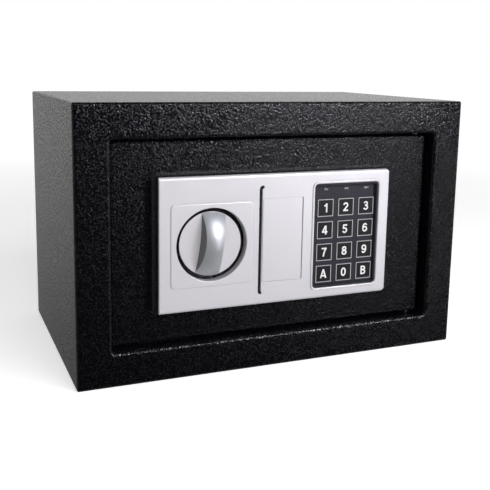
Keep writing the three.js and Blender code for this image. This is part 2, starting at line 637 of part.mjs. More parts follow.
function solenoidFrame() {
  const { x, y, w, d, z0, z1, wall } = SOLENOID;
  const half = w / 2;
  const front = y - d / 2;
  const back = y + d / 2;
  const body = block(x - half, x + half, front, back, z0, z1);
  const room = block(x - half + wall, x + half - wall, front - 1, back + 1, z0 + wall, z1 - wall);
  const arm = block(x - half, x + half, DOOR_BACK + GAP, front + 0.5, z0, z0 + wall);
  const foot = block(x - half, x + half, DOOR_BACK + GAP, DOOR_BACK + GAP + wall, z0, z0 + SOLENOID.foot);
  const neck = barZ(PLUNGER.r + 0.3, x, y, z1 - 4, z1 + 2);
  return cut(join(cut(body, room), arm, foot), neck);
}
piece("solenoid_frame", solenoidFrame(), ZINC);

function tube(outer, inner, z0, z1, steps = 24) {
  const profile = [
    [inner, z0],
    [outer, z0],
    [outer, z1],
    [inner, z1],
    [inner, z0],
  ].map(([r, y]) => new THREE.Vector2(r, y));
  return new THREE.LatheGeometry(profile, steps);
}

const coilEnds = [SOLENOID.z0 + SOLENOID.wall + GAP, SOLENOID.z1 - SOLENOID.wall - GAP];
piece(
  "solenoid_coil",
  tube(SOLENOID.coil, PLUNGER.r + 0.3, ...coilEnds).rotateX(Math.PI / 2),
  COPPER,
).position.set(SOLENOID.x, SOLENOID.y, 0);

function plunger() {
  const rod = barZ(PLUNGER.r, SOLENOID.x, SOLENOID.y, PLUNGER.z0, PLUNGER.tip, 16);
  const z = PLUNGER.collarZ;
  return join(rod, barZ(PLUNGER.collar, SOLENOID.x, SOLENOID.y, z, z + PLUNGER.collarT, 16));
}
piece("solenoid_plunger", plunger(), BRIGHT_STEEL);

class Helix extends THREE.Curve {
  constructor(radius, turns, z0, z1) {
    super();
    Object.assign(this, { radius, turns, z0, z1 });
  }
  getPoint(t, target = new THREE.Vector3()) {
    const a = 2 * Math.PI * this.turns * t;
    const z = this.z0 + (this.z1 - this.z0) * t;
    return target.set(this.radius * Math.cos(a), this.radius * Math.sin(a), z);
  }
}
function plungerSpring() {
  const { r, wire, turns } = SPRING;
  const path = new Helix(r, turns, SOLENOID.z1 + 0.8, PLUNGER.collarZ - 0.8);
  const section = new THREE.Shape(circle(wire, 0, 0, 5));
  return new THREE.ExtrudeGeometry(section, { steps: 10 * turns, extrudePath: path });
}
piece("solenoid_spring", plungerSpring(), BRIGHT_STEEL).position.set(SOLENOID.x, SOLENOID.y, 0);

// ---- key override -------------------------------------------------------------------------

const lock = (name, geometry, material) => {
  piece(name, geometry, material).position.set(LOCK.x, 0, LOCK.z);
};
lock("override_lock_body", tube(LOCK.r, LOCK.plug + 0.2, LOCK.front, LOCK.back, 32), ZINC);
const nutBore = circle(LOCK.r + GAP, 0, 0, 32);
const nutBack = LOCK_NUT.front + LOCK_NUT.t;
const lockNut = slab(circle(LOCK_NUT.r, 0, 0, 6), LOCK_NUT.front, nutBack, [nutBore]);
lock("override_lock_nut", lockNut, ZINC);

function lockPlug() {
  const { front, plugBack, end } = LOCK;
  const { w, h, depth } = KEYWAY;
  const barrel = barY(LOCK.plug, 0, 0, front, plugBack);
  const keyway = block(-w / 2, w / 2, front - 1, front + depth, -h / 2, h / 2);
  return cut(join(barrel, barY(LOCK.tail, 0, 0, plugBack - 1, end)), keyway);
}
lock("override_lock_plug", lockPlug(), BRASS);

function lockCam() {
  const { w, length, front, t } = LOCK_CAM;
  const reach = length + w / 2;
  const arm = roundedRect(w, reach, w / 2 - 0.1, 0, w / 2 - reach / 2);
  return slab(arm, front, front + t, [circle(LOCK.tail + 0.2)]);
}
lock("override_lock_cam", lockCam(), ZINC);

// ---- batteries and reset ------------------------------------------------------------------

function batteryTray() {
  const { cx, cz, w, h, front, back, wall } = TRAY;
  const outer = slab(roundedRect(w, h, 2.5, cx, cz), front, back);
  const room = roundedRect(w - 2 * wall, h - 2 * wall, 1, cx, cz);
  return cut(outer, slab(room, front + wall, back + 1));
}
piece("battery_tray", batteryTray(), BLACK_PLASTIC);

function cell() {
  const half = CELL.length / 2;
  const profile = [
    [0, -half],
    [CELL.r, -half],
    [CELL.r, half],
    [CELL_TIP.r, half],
    [CELL_TIP.r, half + CELL_TIP.h],
    [0, half + CELL_TIP.h],
  ].map(([r, y]) => new THREE.Vector2(r, y));
  return new THREE.LatheGeometry(profile, 20);
}
for (let i = 0; i < 4; i++) {
  const battery = piece(`battery_${i + 1}`, cell(), CELL_SLEEVE);
  battery.rotation.x = (i % 2 ? 1 : -1) * (Math.PI / 2);
  battery.position.set(TRAY.cx + (i - 1.5) * CELL.pitch, CELL.y, TRAY.cz);
}

function batteryCover() {
  const { cx, cz, w, h } = TRAY;
  const { lap, t, corner, rim, rimWall, rimDepth } = BATTERY_LID;
  const seat = LINER.back + GAP;
  const outline = (grow, r) => roundedRect(w + 2 * grow, h + 2 * grow, r, cx, cz);
  const lid = slab(outline(lap, corner), seat, seat + t);
  const wall = slab(outline(-rim, 1.5), LINER.back - rimDepth, seat + 0.5, [
    outline(-rim - rimWall, 1.5),
  ]);
  return join(lid, wall);
}
piece("battery_cover", batteryCover(), BLACK_PLASTIC);

function resetSwitch() {
  const { x, z, r, body, front, floor, play } = RESET;
  const housing = barY(body, x, z, front, LINER.back - LINER.sheet - GAP);
  return cut(housing, barY(r + play, x, z, floor, LINER.back));
}
const resetButton = barY(RESET.r, RESET.x, RESET.z, RESET.tail, LINER.back + RESET.proud);
piece("reset_switch", resetSwitch(), BLACK_PLASTIC);
piece("reset_button", resetButton, RED_PLASTIC);

export default safe;
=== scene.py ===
"""Looks of the electronic safe: a powder-coated steel cabinet with a silver fascia on its door."""

import json
import math

import bmesh
import bpy
from mathutils import Matrix, Vector
from mathutils.geometry import tessellate_polygon


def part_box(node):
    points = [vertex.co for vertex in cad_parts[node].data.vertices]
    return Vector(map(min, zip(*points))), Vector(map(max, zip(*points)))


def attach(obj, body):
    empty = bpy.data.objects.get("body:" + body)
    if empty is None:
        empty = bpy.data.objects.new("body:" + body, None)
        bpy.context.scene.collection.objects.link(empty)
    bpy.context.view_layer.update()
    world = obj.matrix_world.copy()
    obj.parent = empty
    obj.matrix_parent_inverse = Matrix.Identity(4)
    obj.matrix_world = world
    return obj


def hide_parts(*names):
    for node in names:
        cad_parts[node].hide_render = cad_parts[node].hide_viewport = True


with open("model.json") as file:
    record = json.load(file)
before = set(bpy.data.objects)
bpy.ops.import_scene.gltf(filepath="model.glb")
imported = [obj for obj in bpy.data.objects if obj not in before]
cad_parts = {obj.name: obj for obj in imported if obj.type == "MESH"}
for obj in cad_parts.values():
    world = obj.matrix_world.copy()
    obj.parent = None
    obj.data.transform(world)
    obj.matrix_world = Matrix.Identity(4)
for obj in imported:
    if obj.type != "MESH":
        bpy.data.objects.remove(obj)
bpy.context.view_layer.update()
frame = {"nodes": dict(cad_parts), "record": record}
scene = bpy.context.scene

MM = 0.001
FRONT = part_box("body_shell")[0].y / MM  # the cabinet's front face; depths are millimetres behind it
COLOURS = {m["slot"]: tuple(m["base_color"][:3]) for m in frame["record"]["materials"]}


def box_mm(node):
    """Lowest and highest corners of a CAD node, in mm, with y as depth behind the front face."""
    lo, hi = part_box(node)
    shift = Vector((0, FRONT, 0))
    return lo / MM - shift, hi / MM - shift


def middle_mm(node):
    """Middle of a CAD node in mm, as x, depth and z."""
    return [(a + b) / 2 for a, b in zip(*box_mm(node))]


def add_object(name, data):
    piece = bpy.data.objects.new(name, data)
    scene.collection.objects.link(piece)
    return piece


def add_mesh(name, bm, material):
    mesh = bpy.data.meshes.new(name)
    bm.to_mesh(mesh)
    bm.free()
    mesh.materials.append(material)
    return add_object(name, mesh)


# ---- materials ----


class Nodes:
    """The shader nodes of a material or a world, added one call at a time."""

    def __init__(self, owner):
        owner.use_nodes = True
        self.tree = owner.node_tree

    def node(self, kind, inputs=(), **settings):
        made = self.tree.nodes.new("ShaderNode" + kind)
        for key, value in settings.items():
            setattr(made, key, value)
        for key, value in dict(inputs).items():
            self.feed(made.inputs[key], value)
        return made

    def feed(self, socket, value):
        if isinstance(value, bpy.types.NodeSocket):
            self.tree.links.new(value, socket)
        else:
            socket.default_value = value

    def maths(self, a, b, operation="MULTIPLY"):
        return self.node("Math", {0: a, 1: b}, operation=operation).outputs[0]


class Finish(Nodes):
    """A material made by adding nodes in front of its shader."""

    def __init__(self, name):
        self.material = bpy.data.materials.new(name)
        super().__init__(self.material)
        self.shader = self.tree.nodes["Principled BSDF"]
        self.place = self.node("TexCoord").outputs["Object"]

    def set(self, **values):
        for key, value in values.items():
            self.feed(self.shader.inputs[key.replace("_", " ")], value)
        return self

    def noise(self, scale, detail=2.0, roughness=0.5, place=None):
        inputs = {"Scale": scale, "Detail": detail, "Roughness": roughness}
        return self.node("TexNoise", {"Vector": place or self.place, **inputs}).outputs["Fac"]

    def cells(self, scale, smoothness, place=None):
        inputs = {"Vector": place or self.place, "Scale": scale, "Smoothness": smoothness}
        return self.node("TexVoronoi", inputs, feature="SMOOTH_F1").outputs["Distance"]

    def stretched(self, scale):
        return self.node("Mapping", {"Vector": self.place, "Scale": scale}).outputs[0]

    def warped(self, scale, amount):
        """Object coordinates pushed about by a noise, so that a pattern loses its regularity."""
        push = self.node("TexNoise", {"Vector": self.place, "Scale": scale, "Detail": 1.0})
        step = {0: push.outputs["Color"], 1: (amount,) * 3}
        moved = {0: self.place, 1: self.node("VectorMath", step, operation="MULTIPLY").outputs[0]}
        return self.node("VectorMath", moved, operation="ADD").outputs[0]

    def spread(self, value, low, high, source=(0.0, 1.0)):
        """The source range carried linearly to low and high, and held there."""
        inputs = {"Value": value, "From Min": source[0], "From Max": source[1]}
        return self.node("MapRange", {**inputs, "To Min": low, "To Max": high}).outputs[0]

    def ramp(self, value, *stops):
        made = self.node("ValToRGB", {"Fac": value})
        elements = made.color_ramp.elements
        while len(elements) < len(stops):
            elements.new(0.5)
        for element, (position, colour) in zip(elements, stops):
            element.position = position
            element.color = (*colour, 1)
        return made.outputs["Color"]

    def mottle(self, pattern, colour, low, high, stops=(0.3, 0.7)):
        """The colour at one strength low in the pattern, and at another high in it."""
        return self.ramp(pattern, (stops[0], scaled(colour, low)), (stops[1], scaled(colour, high)))

    def mix(self, share, a, b):
        made = self.node("Mix", data_type="RGBA")
        self.feed(made.inputs[0], share)
        for socket, value in ((made.inputs[6], a), (made.inputs[7], b)):
            self.feed(socket, (*value, 1) if isinstance(value, tuple) else value)
        return made.outputs[2]

    def edges(self, radius_mm):
        """Near 1 on edges sharper than the surface round them, 0 elsewhere."""
        soft = self.node("Bevel", {"Radius": radius_mm * MM}, samples=4).outputs["Normal"]
        true = self.node("NewGeometry").outputs["Normal"]
        dot = self.node("VectorMath", {0: soft, 1: true}, operation="DOT_PRODUCT").outputs["Value"]
        return self.spread(dot, 1.0, 0.0, (0.86, 0.995))

    def pebbles(self, scale, fine_share):
        """Height of a leathery grain: irregular pebbles with a finer grain over them."""
        pits = self.cells(scale, 0.35, self.warped(330, 0.0016))
        fine = self.maths(self.noise(1700, 2.0, 0.55), fine_share)
        return self.maths(self.maths(1.0, pits, "SUBTRACT"), fine, "ADD")

    def bump(self, height, strength, distance_mm):
        inputs = {"Height": height, "Strength": strength, "Distance": distance_mm * MM}
        return self.node("Bump", inputs).outputs["Normal"]


def scaled(colour, factor):
    return tuple(min(1.0, c * factor) for c in colour)


def powder_coat():
    """Black polyester powder: dull crests of a leathery pebble over glossier valleys."""
    f = Finish("powder_coat")
    valley, crest = (0.0013, 0.0013, 0.0021), (0.0024, 0.0024, 0.0037)
    height = f.pebbles(690, 0.25)
    cloud = f.noise(24, 3.0)
    share = f.maths(f.spread(height, 0, 1, (0.6, 1.0)), f.spread(cloud, 0.75, 1.1))
    # Edges lightened in patches: partly wear, partly a painted highlight standing in for the light
    # line along the bends.
    edge_wear_and_highlight = f.maths(f.edges(1.0), f.spread(f.noise(260, 3.0), 0, 1, (0.45, 0.75)))
    f.set(Base_Color=f.mix(edge_wear_and_highlight, f.mix(share, valley, crest), scaled(crest, 3)))
    f.set(Roughness=f.spread(share, 0.2, 0.5), IOR=1.42)
    return f.set(Normal=f.bump(height, 1.0, 0.36)).material


def silver_plastic():
    """ABS sprayed with a fine aluminium lacquer."""
    f = Finish("silver_plastic")
    flake = f.cells(5200, 0.1)
    cloud = f.noise(35)
    base = (0.60, 0.59, 0.615)
    colour = f.ramp(flake, (0.1, scaled(base, 1.06)), (0.6, base), (0.95, scaled(base, 0.92)))
    dirt = f.maths(f.edges(0.4), f.noise(300, 3.0))
    f.set(Base_Color=f.mix(dirt, colour, scaled(base, 0.8)), Metallic=0.4)
    f.set(Roughness=f.spread(cloud, 0.36, 0.44))
    return f.set(Normal=f.bump(f.noise(3800), 0.1, 0.02)).material


def black_plastic(name, crest):
    """ABS moulded with a finer and shallower grain."""
    f = Finish(name)
    height = f.pebbles(1000, 0.4)
    share = f.spread(height, 0, 1, (0.55, 1.1))
    cloud = f.noise(60)
    rub = f.maths(f.edges(0.6), f.noise(300))
    tone = f.mix(f.spread(cloud, 0.1, 0.5), crest, scaled(crest, 0.6))
    f.set(Base_Color=f.mix(rub, f.mix(share, scaled(crest, 0.3), tone), scaled(crest, 2.5)))
    f.set(Roughness=f.spread(share, 0.26, 0.5), IOR=1.45)
    return f.set(Normal=f.bump(height, 1.0, 0.22)).material


def satin_metal(name, colour, metallic):
    """Satin plating on plastic, brushed along the grip."""
    f = Finish(name)
    lines = f.noise(5200, 2.0, 0.5, f.stretched((1, 1, 0.06)))
    cloud = f.noise(60)
    f.set(Base_Color=f.mottle(lines, colour, 0.93, 1, (0.2, 0.8)), Metallic=metallic)
    f.set(Roughness=f.spread(cloud, 0.36, 0.44))
    return f.set(Normal=f.bump(lines, 0.08, 0.02)).material


def membrane(name, colour, roughness):
    """Moulded silicone with a faint eggshell grain."""
    f = Finish(name)
    grain = f.noise(3000, 2.0, 0.6)
    cloud = f.noise(90)
    f.set(Base_Color=f.mottle(cloud, colour, 0.88, 1.1))
    f.set(Roughness=f.spread(grain, roughness - 0.05, roughness + 0.07, (0.3, 0.7)), IOR=1.42)
    return f.set(Normal=f.bump(grain, 0.3, 0.03)).material


def printed(name, colour):
    """Screen-printed ink, slightly uneven."""
    f = Finish(name)
    speck = f.noise(2600, 3.0, 0.7)
    f.set(Base_Color=f.mottle(speck, colour, 0.82, 1, (0.25, 0.6)))
    f.set(Roughness=f.spread(speck, 0.42, 0.55))
    return f.set(Normal=f.bump(speck, 0.15, 0.02)).material


def smoked_lens():
    f = Finish("lens")
    tint = f.mottle(f.noise(500), (0.05, 0.05, 0.057), 0.8, 1)
    f.set(Base_Color=tint, Roughness=0.18)
    return f.set(Normal=f.bump(f.noise(900, 1.0), 0.1, 0.03)).material


def metal(name, rough, stretch=(1, 1, 1), scale=2600, patch=0.0, colour=None):
    """Bare or plated metal with fine drawn lines along the axis whose stretch is small."""
    f = Finish(name)
    colour = colour or COLOURS[name]
    lines = f.noise(scale, 3.0, 0.6, f.stretched(stretch))
    cloud = f.noise(70, 3.0)
    tint = f.mottle(cloud, colour, 0.82, 1.08)
    if patch:
        spangle = f.cells(180, 0.2)
        tint = f.mix(f.spread(spangle, 0.0, patch), tint, scaled(colour, 0.55))
    f.set(Base_Color=tint, Metallic=1.0)
    f.set(Roughness=f.spread(cloud, rough - 0.06, rough + 0.08))
    return f.set(Normal=f.bump(lines, 0.18, 0.03)).material


def circuit_resist():
    f = Finish("board")
    base = COLOURS["board"]
    tracks = f.node("TexBrick", {"Vector": f.place, "Scale": 260.0}).outputs["Fac"]
    f.set(Base_Color=f.mix(f.maths(tracks, 0.4), base, scaled(base, 2.2)))
    f.set(Roughness=f.spread(f.noise(400), 0.25, 0.4))
    return f.set(Normal=f.bump(tracks, 0.3, 0.05)).material


def felt():
    """Needle-punched charcoal felt."""
    f = Finish("carpet")
    base = COLOURS["carpet"]
    fibres = f.noise(900, 4.0, 0.75, f.warped(400, 0.003))
    cloud = f.noise(55, 3.0)
    shade = f.mottle(fibres, base, 0.15, 1.5, (0.36, 0.62))
    f.set(Base_Color=f.mix(f.spread(cloud, 0.0, 0.3), shade, scaled(base, 0.5)))
    f.set(Roughness=f.spread(fibres, 0.88, 1.0), Sheen_Weight=0.1, Sheen_Roughness=0.5)
    return f.set(Specular_IOR_Level=0.2, Normal=f.bump(fibres, 1.0, 0.5)).material


def cell_sleeve():
    """Dark printed foil, lighter in patches."""
    f = Finish("cell_sleeve")
    grain = f.noise(900)
    f.set(Base_Color=f.mottle(grain, COLOURS["cell_sleeve"], 1, 1.5), Metallic=0.6)
    return f.set(Roughness=f.spread(grain, 0.28, 0.4), Normal=f.bump(grain, 0.1, 0.02)).material


def red_plastic():
    f = Finish("red_plastic")
    cloud = f.noise(300)
    f.set(Base_Color=f.mottle(cloud, COLOURS["red_plastic"], 0.85, 1))
    f.set(Roughness=f.spread(cloud, 0.28, 0.42))
    return f.set(Normal=f.bump(f.noise(2600), 0.15, 0.02)).material


JET = (0.004, 0.004, 0.005)
FINISHES = {
    "powder_coat": powder_coat(),
    "silver_plastic": silver_plastic(),
    "black_plastic": black_plastic("black_plastic", (0.022, 0.022, 0.025)),
    "grip_plating": satin_metal("grip_plating", (0.56, 0.585, 0.60), 0.75),
    "key_rubber": membrane("key_rubber", JET, 0.5),
    "lens": smoked_lens(),
    "bright_steel": metal("bright_steel", 0.26),
    "zinc": metal("zinc", 0.4, scale=900, patch=0.4),
    "brass": metal("brass", 0.3, (1, 0.1, 1)),
    "copper": metal("copper", 0.35, (0.02, 0.02, 1), 2400),
    "board": circuit_resist(),
    "carpet": felt(),
    "cell_sleeve": cell_sleeve(),
    "red_plastic": red_plastic(),
}
# Near lightless black for the knob's body: black plastic darkened further as painted shade for the
# shadow deep in the knob's well.
KNOB_BLACK_SHADE = black_plastic("knob_black_painted_shade", JET)
# The grip's side walls: a darker grey that is painted shade, for walls turned away from the light.
GRIP_SIDE_SHADE = satin_metal("grip_side_painted_shade", (0.11, 0.11, 0.115), 0.3)
MEMBRANE_GREY = membrane("keypad_grey", (0.014, 0.014, 0.021), 0.48)
CELL_BAND = metal("cell_band", 0.3, colour=(0.42, 0.20, 0.09))
WHITE_PRINT = printed("digit_print", (0.64, 0.64, 0.65))
GREY_PRINT = printed("frame_print", (0.34, 0.34, 0.35))


# ---- mesh building ----


def arc(start, end, steps):
    """Angles in radians from start to end degrees."""
    return [math.radians(start + (end - start) * i / steps) for i in range(steps + 1)]


class Rect:
    """A rounded rectangle in (x, z) that can be drawn grown by some amount."""

    def __init__(self, cx, cz, w, h, r, steps=8):
        self.cx, self.cz, self.w, self.h, self.steps = cx, cz, w, h, steps
        self.radii = (r,) * 4  # anticlockwise from the upper right corner

    def at(self, grow=0.0, grow_z=None):
        gz = grow if grow_z is None else grow_z
        hw, hh = self.w / 2 + grow, self.h / 2 + gz
        points = []
        for corner, (sx, sz) in enumerate(((1, 1), (-1, 1), (-1, -1), (1, -1))):
            rx = max(self.radii[corner] + grow, 0.02)
            rz = max(self.radii[corner] + gz, 0.02)
            for a in arc(90 * corner, 90 * corner + 90, self.steps):
                x = self.cx + sx * (hw - rx) + rx * math.cos(a)
                points.append((x, self.cz + sz * (hh - rz) + rz * math.sin(a)))
        return points


class Disc:
    """A circle in (x, z) that can be drawn grown by some amount."""

    def __init__(self, cx, cz, r, steps=96):
        self.cx, self.cz, self.r, self.steps = cx, cz, r, steps

    def at(self, grow=0.0):
        r = self.r + grow
        turns = [2 * math.pi * i / self.steps for i in range(self.steps)]
        return [(self.cx + r * math.cos(a), self.cz + r * math.sin(a)) for a in turns]


class Slot:
    """A line in (x, z) thickened on both sides, with round ends."""

    def __init__(self, line, half):
        self.line, self.half = [Vector(p) for p in line], half

    def at(self, grow=0.0):
        r, loop = self.half + grow, []
        for line in (self.line, self.line[::-1]):
            for before, p, after in zip([line[0], *line], line, [*line[1:], line[-1]]):
                along = (after - before).normalized()
                out = Vector((along.y, -along.x))
                loop.append(p + out * r)
            for a in arc(15, 165, 6):
                loop.append(p + out * (r * math.cos(a)) + along * (r * math.sin(a)))
        return [(p.x, p.y) for p in loop]


def node_rect(node, corner, wider=0.0, taller=0.0, steps=8):
    """The outline of a CAD node seen from the front, as a rounded rectangle."""
    lo, hi = box_mm(node)
    cx, _, cz = middle_mm(node)
    return Rect(cx, cz, hi.x - lo.x + wider, hi.z - lo.z + taller, corner, steps)


def rounding(radius, depth, steps):
    """Profile (grow, depth) of a quarter round from a front face at depth into a side wall: that
    of a hole, or, where the radius is negative, that of a piece."""
    return [
        (radius * (1 - math.sin(a)), depth + abs(radius) * (1 - math.cos(a)))
        for a in arc(0, 90, steps)
    ]


class Builder:
    """Collects rings and faces of one mesh. Units are mm, with y as depth."""

    def __init__(self):
        self.bm = bmesh.new()

    def ring(self, points, depth):
        """A ring of vertices; depth is one number or a function of the point."""
        found = depth if callable(depth) else (lambda x, z: depth)
        return [self.bm.verts.new((x, found(x, z), z)) for x, z in points]

    def bridge(self, a, b):
        count = len(a)
        for i in range(count):
            j = (i + 1) % count
            self.bm.faces.new((a[i], b[i], b[j], a[j]))

    def sweep(self, outline, profile):
        """Rings of the outline grown and set back as the profile says, joined into a wall."""
        rings = [self.ring(outline.at(*step[:-1]), step[-1]) for step in profile]
        for a, b in zip(rings, rings[1:]):
            self.bridge(a, b)
        return rings

    def solid(self, outline, profile):
        """A sweep with a face at both ends."""
        rings = self.sweep(outline, profile)
        self.fill(rings[0])
        self.fill(rings[-1])

    def patch(self, loops, axes):
        """Triangles inside the first loop and round the others, flat along the two axes."""
        a, b = axes
        flat = [[Vector((v.co[a], v.co[b], 0)) for v in loop] for loop in loops]
        verts = [v for loop in loops for v in loop]
        for triangle in tessellate_polygon(flat):
            self.bm.faces.new([verts[i] for i in triangle])

    def fill(self, outer, holes=()):
        """A flat upright face inside the outer ring, round the holes."""
        if holes:
            self.patch([outer, *holes], (0, 2))
        else:
            self.bm.faces.new(outer)

    def punch(self, z, discs):
        """Cuts round holes in the largest level face at a height, and gives their rings."""
        level = [f for f in self.bm.faces if all(abs(v.co.z - z) < 0.01 for v in f.verts)]
        face = max(level, key=lambda f: f.calc_area())
        outline = list(face.verts)
        bmesh.ops.delete(self.bm, geom=[face], context="FACES_ONLY")
        rings = [[self.bm.verts.new((x, y, z)) for x, y in disc.at()] for disc in discs]
        self.patch([outline, *rings], (0, 1))
        return rings

    def lay_flat(self, top):
        """Turns what was drawn upright on its back, so that depth 0 becomes the height top."""
        for v in self.bm.verts:
            v.co = Vector((v.co.x, v.co.z, top - v.co.y))

    def tube(self, rings, closed=True):
        """Rings given as points joined end to end; a closed tube has a face at both ends."""
        made = [[self.bm.verts.new(p) for p in ring] for ring in rings]
        for a, b in zip(made, made[1:]):
            self.bridge(a, b)
        if closed:
            self.bm.faces.new(made[0])
            self.bm.faces.new(made[-1])

    def block(self, lo, hi, bevel, segments=2):
        """A box between two corners with its edges rounded."""
        size = [b - a for a, b in zip(lo, hi)]
        middle = [(a + b) / 2 for a, b in zip(lo, hi)]
        matrix = Matrix.Translation(middle) @ Matrix.Diagonal((*size, 1))
        made = bmesh.ops.create_cube(self.bm, size=1, matrix=matrix)
        edges = list({e for v in made["verts"] for e in v.link_edges})
        shape = {"segments": segments, "affect": "EDGES", "profile": 0.5}
        bmesh.ops.bevel(self.bm, geom=edges, offset=bevel, **shape)

    def finish(self, name, slot, body, replaces=(), material=None, sharp=40, merge=0.0005):
        """Makes the object in metres, smooth except at sharp edges, riding on its body."""
        bm = self.bm
        bmesh.ops.remove_doubles(bm, verts=bm.verts, dist=merge)
        bmesh.ops.recalc_face_normals(bm, faces=bm.faces)
        for v in bm.verts:
            v.co = Vector((v.co.x, v.co.y + FRONT, v.co.z)) * MM
        for face in bm.faces:
            face.smooth = True
        limit = math.radians(sharp)
        for edge in bm.edges:
            edge.smooth = len(edge.link_faces) != 2 or edge.calc_face_angle(0) < limit
        piece = add_mesh(name, bm, material or FINISHES[slot])
        even_normals(piece)
        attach(piece, body)
        if replaces:
            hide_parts(*replaces)
        return piece


def even_normals(piece):
    """Weights the normals by face area, so that flat faces beside a rounding stay flat."""
    piece.modifiers.new("even_normals", "WEIGHTED_NORMAL").keep_sharp = True


def lathe(builder, centre, axis, profile, steps):
    """Turns (radius, distance along the axis) points round an axis through the centre."""
    turn = Vector((0, 0, 1)).rotation_difference(Vector(axis)).to_matrix()
    rings = []
    for r, along in profile:
        circle = Disc(0, 0, r, steps).at()
        rings.append([Vector(centre) + turn @ Vector((x, y, along)) for x, y in circle])
    builder.tube(rings)


# ---- cabinet ----

SHEET = 1.2
BEND, WRAP_R = 2.5, 1.6  # round the front edges, and along the cabinet's long edges
MID_Z = middle_mm("body_shell")[2]
OPENING_W, OPENING_H, OPENING_R = 260.0, 150.0, 2.5
RETURNS = {"top": 21.0, "left": 15.0, "right": 10.5}  # how deep the opening's edges fold back
STRIKE_WIDTH, STRIKE_INSET = 12.0, 2.0
ANCHOR_XS, ANCHOR_DEPTH, ANCHOR_R = (-100.0, 100.0), 100.0, 5.0
MAT_CORNER, MAT_HOLE_R = 4.0, 6.0


def return_depth(x, z):
    """How deep the opening's return is at a point: the side returns are shorter."""
    if abs(x) < OPENING_W / 2 - 0.5:
        return RETURNS["top"]
    return RETURNS["left"] if x < 0 else RETURNS["right"]


def cabinet_shell():
    """Folded sheet: walls with a soft front edge, a bordered opening and its returns."""
    lo, hi = box_mm("body_shell")
    w, h = hi.x - lo.x, hi.z - lo.z
    outer = Rect(0, MID_Z, w, h, WRAP_R)
    inner = Rect(0, MID_Z, w - 2 * SHEET, h - 2 * SHEET, WRAP_R - SHEET + 0.1)
    opening = Rect(0, MID_Z, OPENING_W, OPENING_H, OPENING_R)
    behind = Rect(0, MID_Z, OPENING_W + 2 * SHEET, OPENING_H + 2 * SHEET, OPENING_R + SHEET)

    b = Builder()
    steps = [(outer, 0, hi.y)]
    steps += [(outer, g, d) for g, d in reversed(rounding(-BEND, 0, 8))]
    steps += [(opening, g, d) for g, d in rounding(BEND, 0, 8)]
    steps += [(opening, 0, return_depth), (behind, 0, return_depth)]
    steps += [(behind, g, d + SHEET) for g, d in reversed(rounding(BEND - SHEET, 0, 4))]
    steps += [(inner, -0.5, SHEET), (inner, 0, SHEET + 0.5), (inner, 0, hi.y)]
    rings = [b.ring(outline.at(grow), depth) for outline, grow, depth in steps]
    for first, second in zip(rings, rings[1:] + rings[:1]):
        b.bridge(first, second)
    bores = [Disc(x, ANCHOR_DEPTH, ANCHOR_R, 32) for x in ANCHOR_XS]
    for under, upper in zip(b.punch(lo.z, bores), b.punch(lo.z + SHEET, bores)):
        b.bridge(under, upper)
    edge, reach = OPENING_W / 2, OPENING_H / 2 - STRIKE_INSET
    back = RETURNS["left"]
    strike_lo = (-edge - STRIKE_WIDTH, back - SHEET, MID_Z - reach)
    b.block(strike_lo, (-edge - 0.2, back, MID_Z + reach), 0.3)
    b.finish("cabinet_shell", "powder_coat", "cabinet", ["body_shell"])


def floor_mat():
    """Needle felt cut to the cabinet's floor, with soft edges and two holes for the anchors."""
    lo, hi = box_mm("floor_mat")
    w, d, thick = hi.x - lo.x, hi.y - lo.y, hi.z - lo.z
    b = Builder()
    sheet = Rect(0, (lo.y + hi.y) / 2, w, d, MAT_CORNER)
    edge = b.sweep(sheet, [(-1.0, 0), (-0.4, 0.1), (-0.05, 0.45), (0, thick - 0.3), (-0.2, thick)])
    holes = []
    for x in ANCHOR_XS:
        hole = Disc(x, ANCHOR_DEPTH, MAT_HOLE_R, 32)
        holes.append(b.sweep(hole, [(0.6, 0), (0.05, 0.3), (0, thick)]))
    b.fill(edge[0], [hole[0] for hole in holes])
    b.fill(edge[-1], [hole[-1] for hole in holes])
    b.lay_flat(hi.z)
    felt_mat = b.finish("felt_mat", "carpet", "cabinet", ["floor_mat"])


cabinet_shell()
floor_mat()


# ---- door ----

KNOB_LO, KNOB_HI = box_mm("knob_disc")
KNOB_X, _, KNOB_Z = middle_mm("knob_disc")
KNOB_R = (KNOB_HI.x - KNOB_LO.x) / 2
LOCK_X, _, LOCK_Z = middle_mm("override_lock_body")
DOOR_H, DOOR_T, DOOR_CORNER, DOOR_EDGE = 146.0, 3.0, 1.4, 1.3
SPINDLE_BORE, LOCK_BORE = 4.5, 9.8
CABLE_SLOT = (58.0, 60.0, 14.0, 6.0, 2.5)  # x, z, width, height and corner
STUD_R, STUD_BORE, STUD_BORE_DEPTH = 3.5, 1.8, 9.5
SCREW_STACK = 3.6  # screw head, liner and clearance in front of a stud's end


def door_plate():
    """Folded plate with soft edges, its cut-outs, and the welded studs for the liner's screws."""
    lo, hi = box_mm("door_plate")
    front, back = lo.y, lo.y + DOOR_T
    b = Builder()
    plate = Rect(0, MID_Z, 2 * hi.x, DOOR_H, DOOR_CORNER)
    wall = b.sweep(plate, [*rounding(-DOOR_EDGE, front, 5), (0, back - 0.3), (-0.3, back)])
    bores = [Disc(KNOB_X, KNOB_Z, SPINDLE_BORE, 32), Disc(LOCK_X, LOCK_Z, LOCK_BORE, 48)]
    holes = [b.sweep(cut, [(0, front), (0, back)]) for cut in (*bores, Rect(*CABLE_SLOT))]
    studs = []
    for number in "1234":
        screw = f"liner_screw_{number}"
        x, _, z = middle_mm(screw)
        top = box_mm(screw)[1].y - SCREW_STACK
        outside = b.sweep(Disc(x, z, STUD_R, 24), [(0, back), (0, top - 0.3), (-0.3, top)])
        bore = b.sweep(Disc(x, z, STUD_BORE, 24), [(0, top), (0, top - STUD_BORE_DEPTH)])
        b.bridge(outside[-1], bore[0])
        b.fill(bore[-1])
        studs.append(outside)
    b.fill(wall[0], [hole[0] for hole in holes])
    b.fill(wall[-1], [hole[-1] for hole in holes] + [stud[0] for stud in studs])
    b.finish("door_skin", "powder_coat", "door", ["door_plate"])


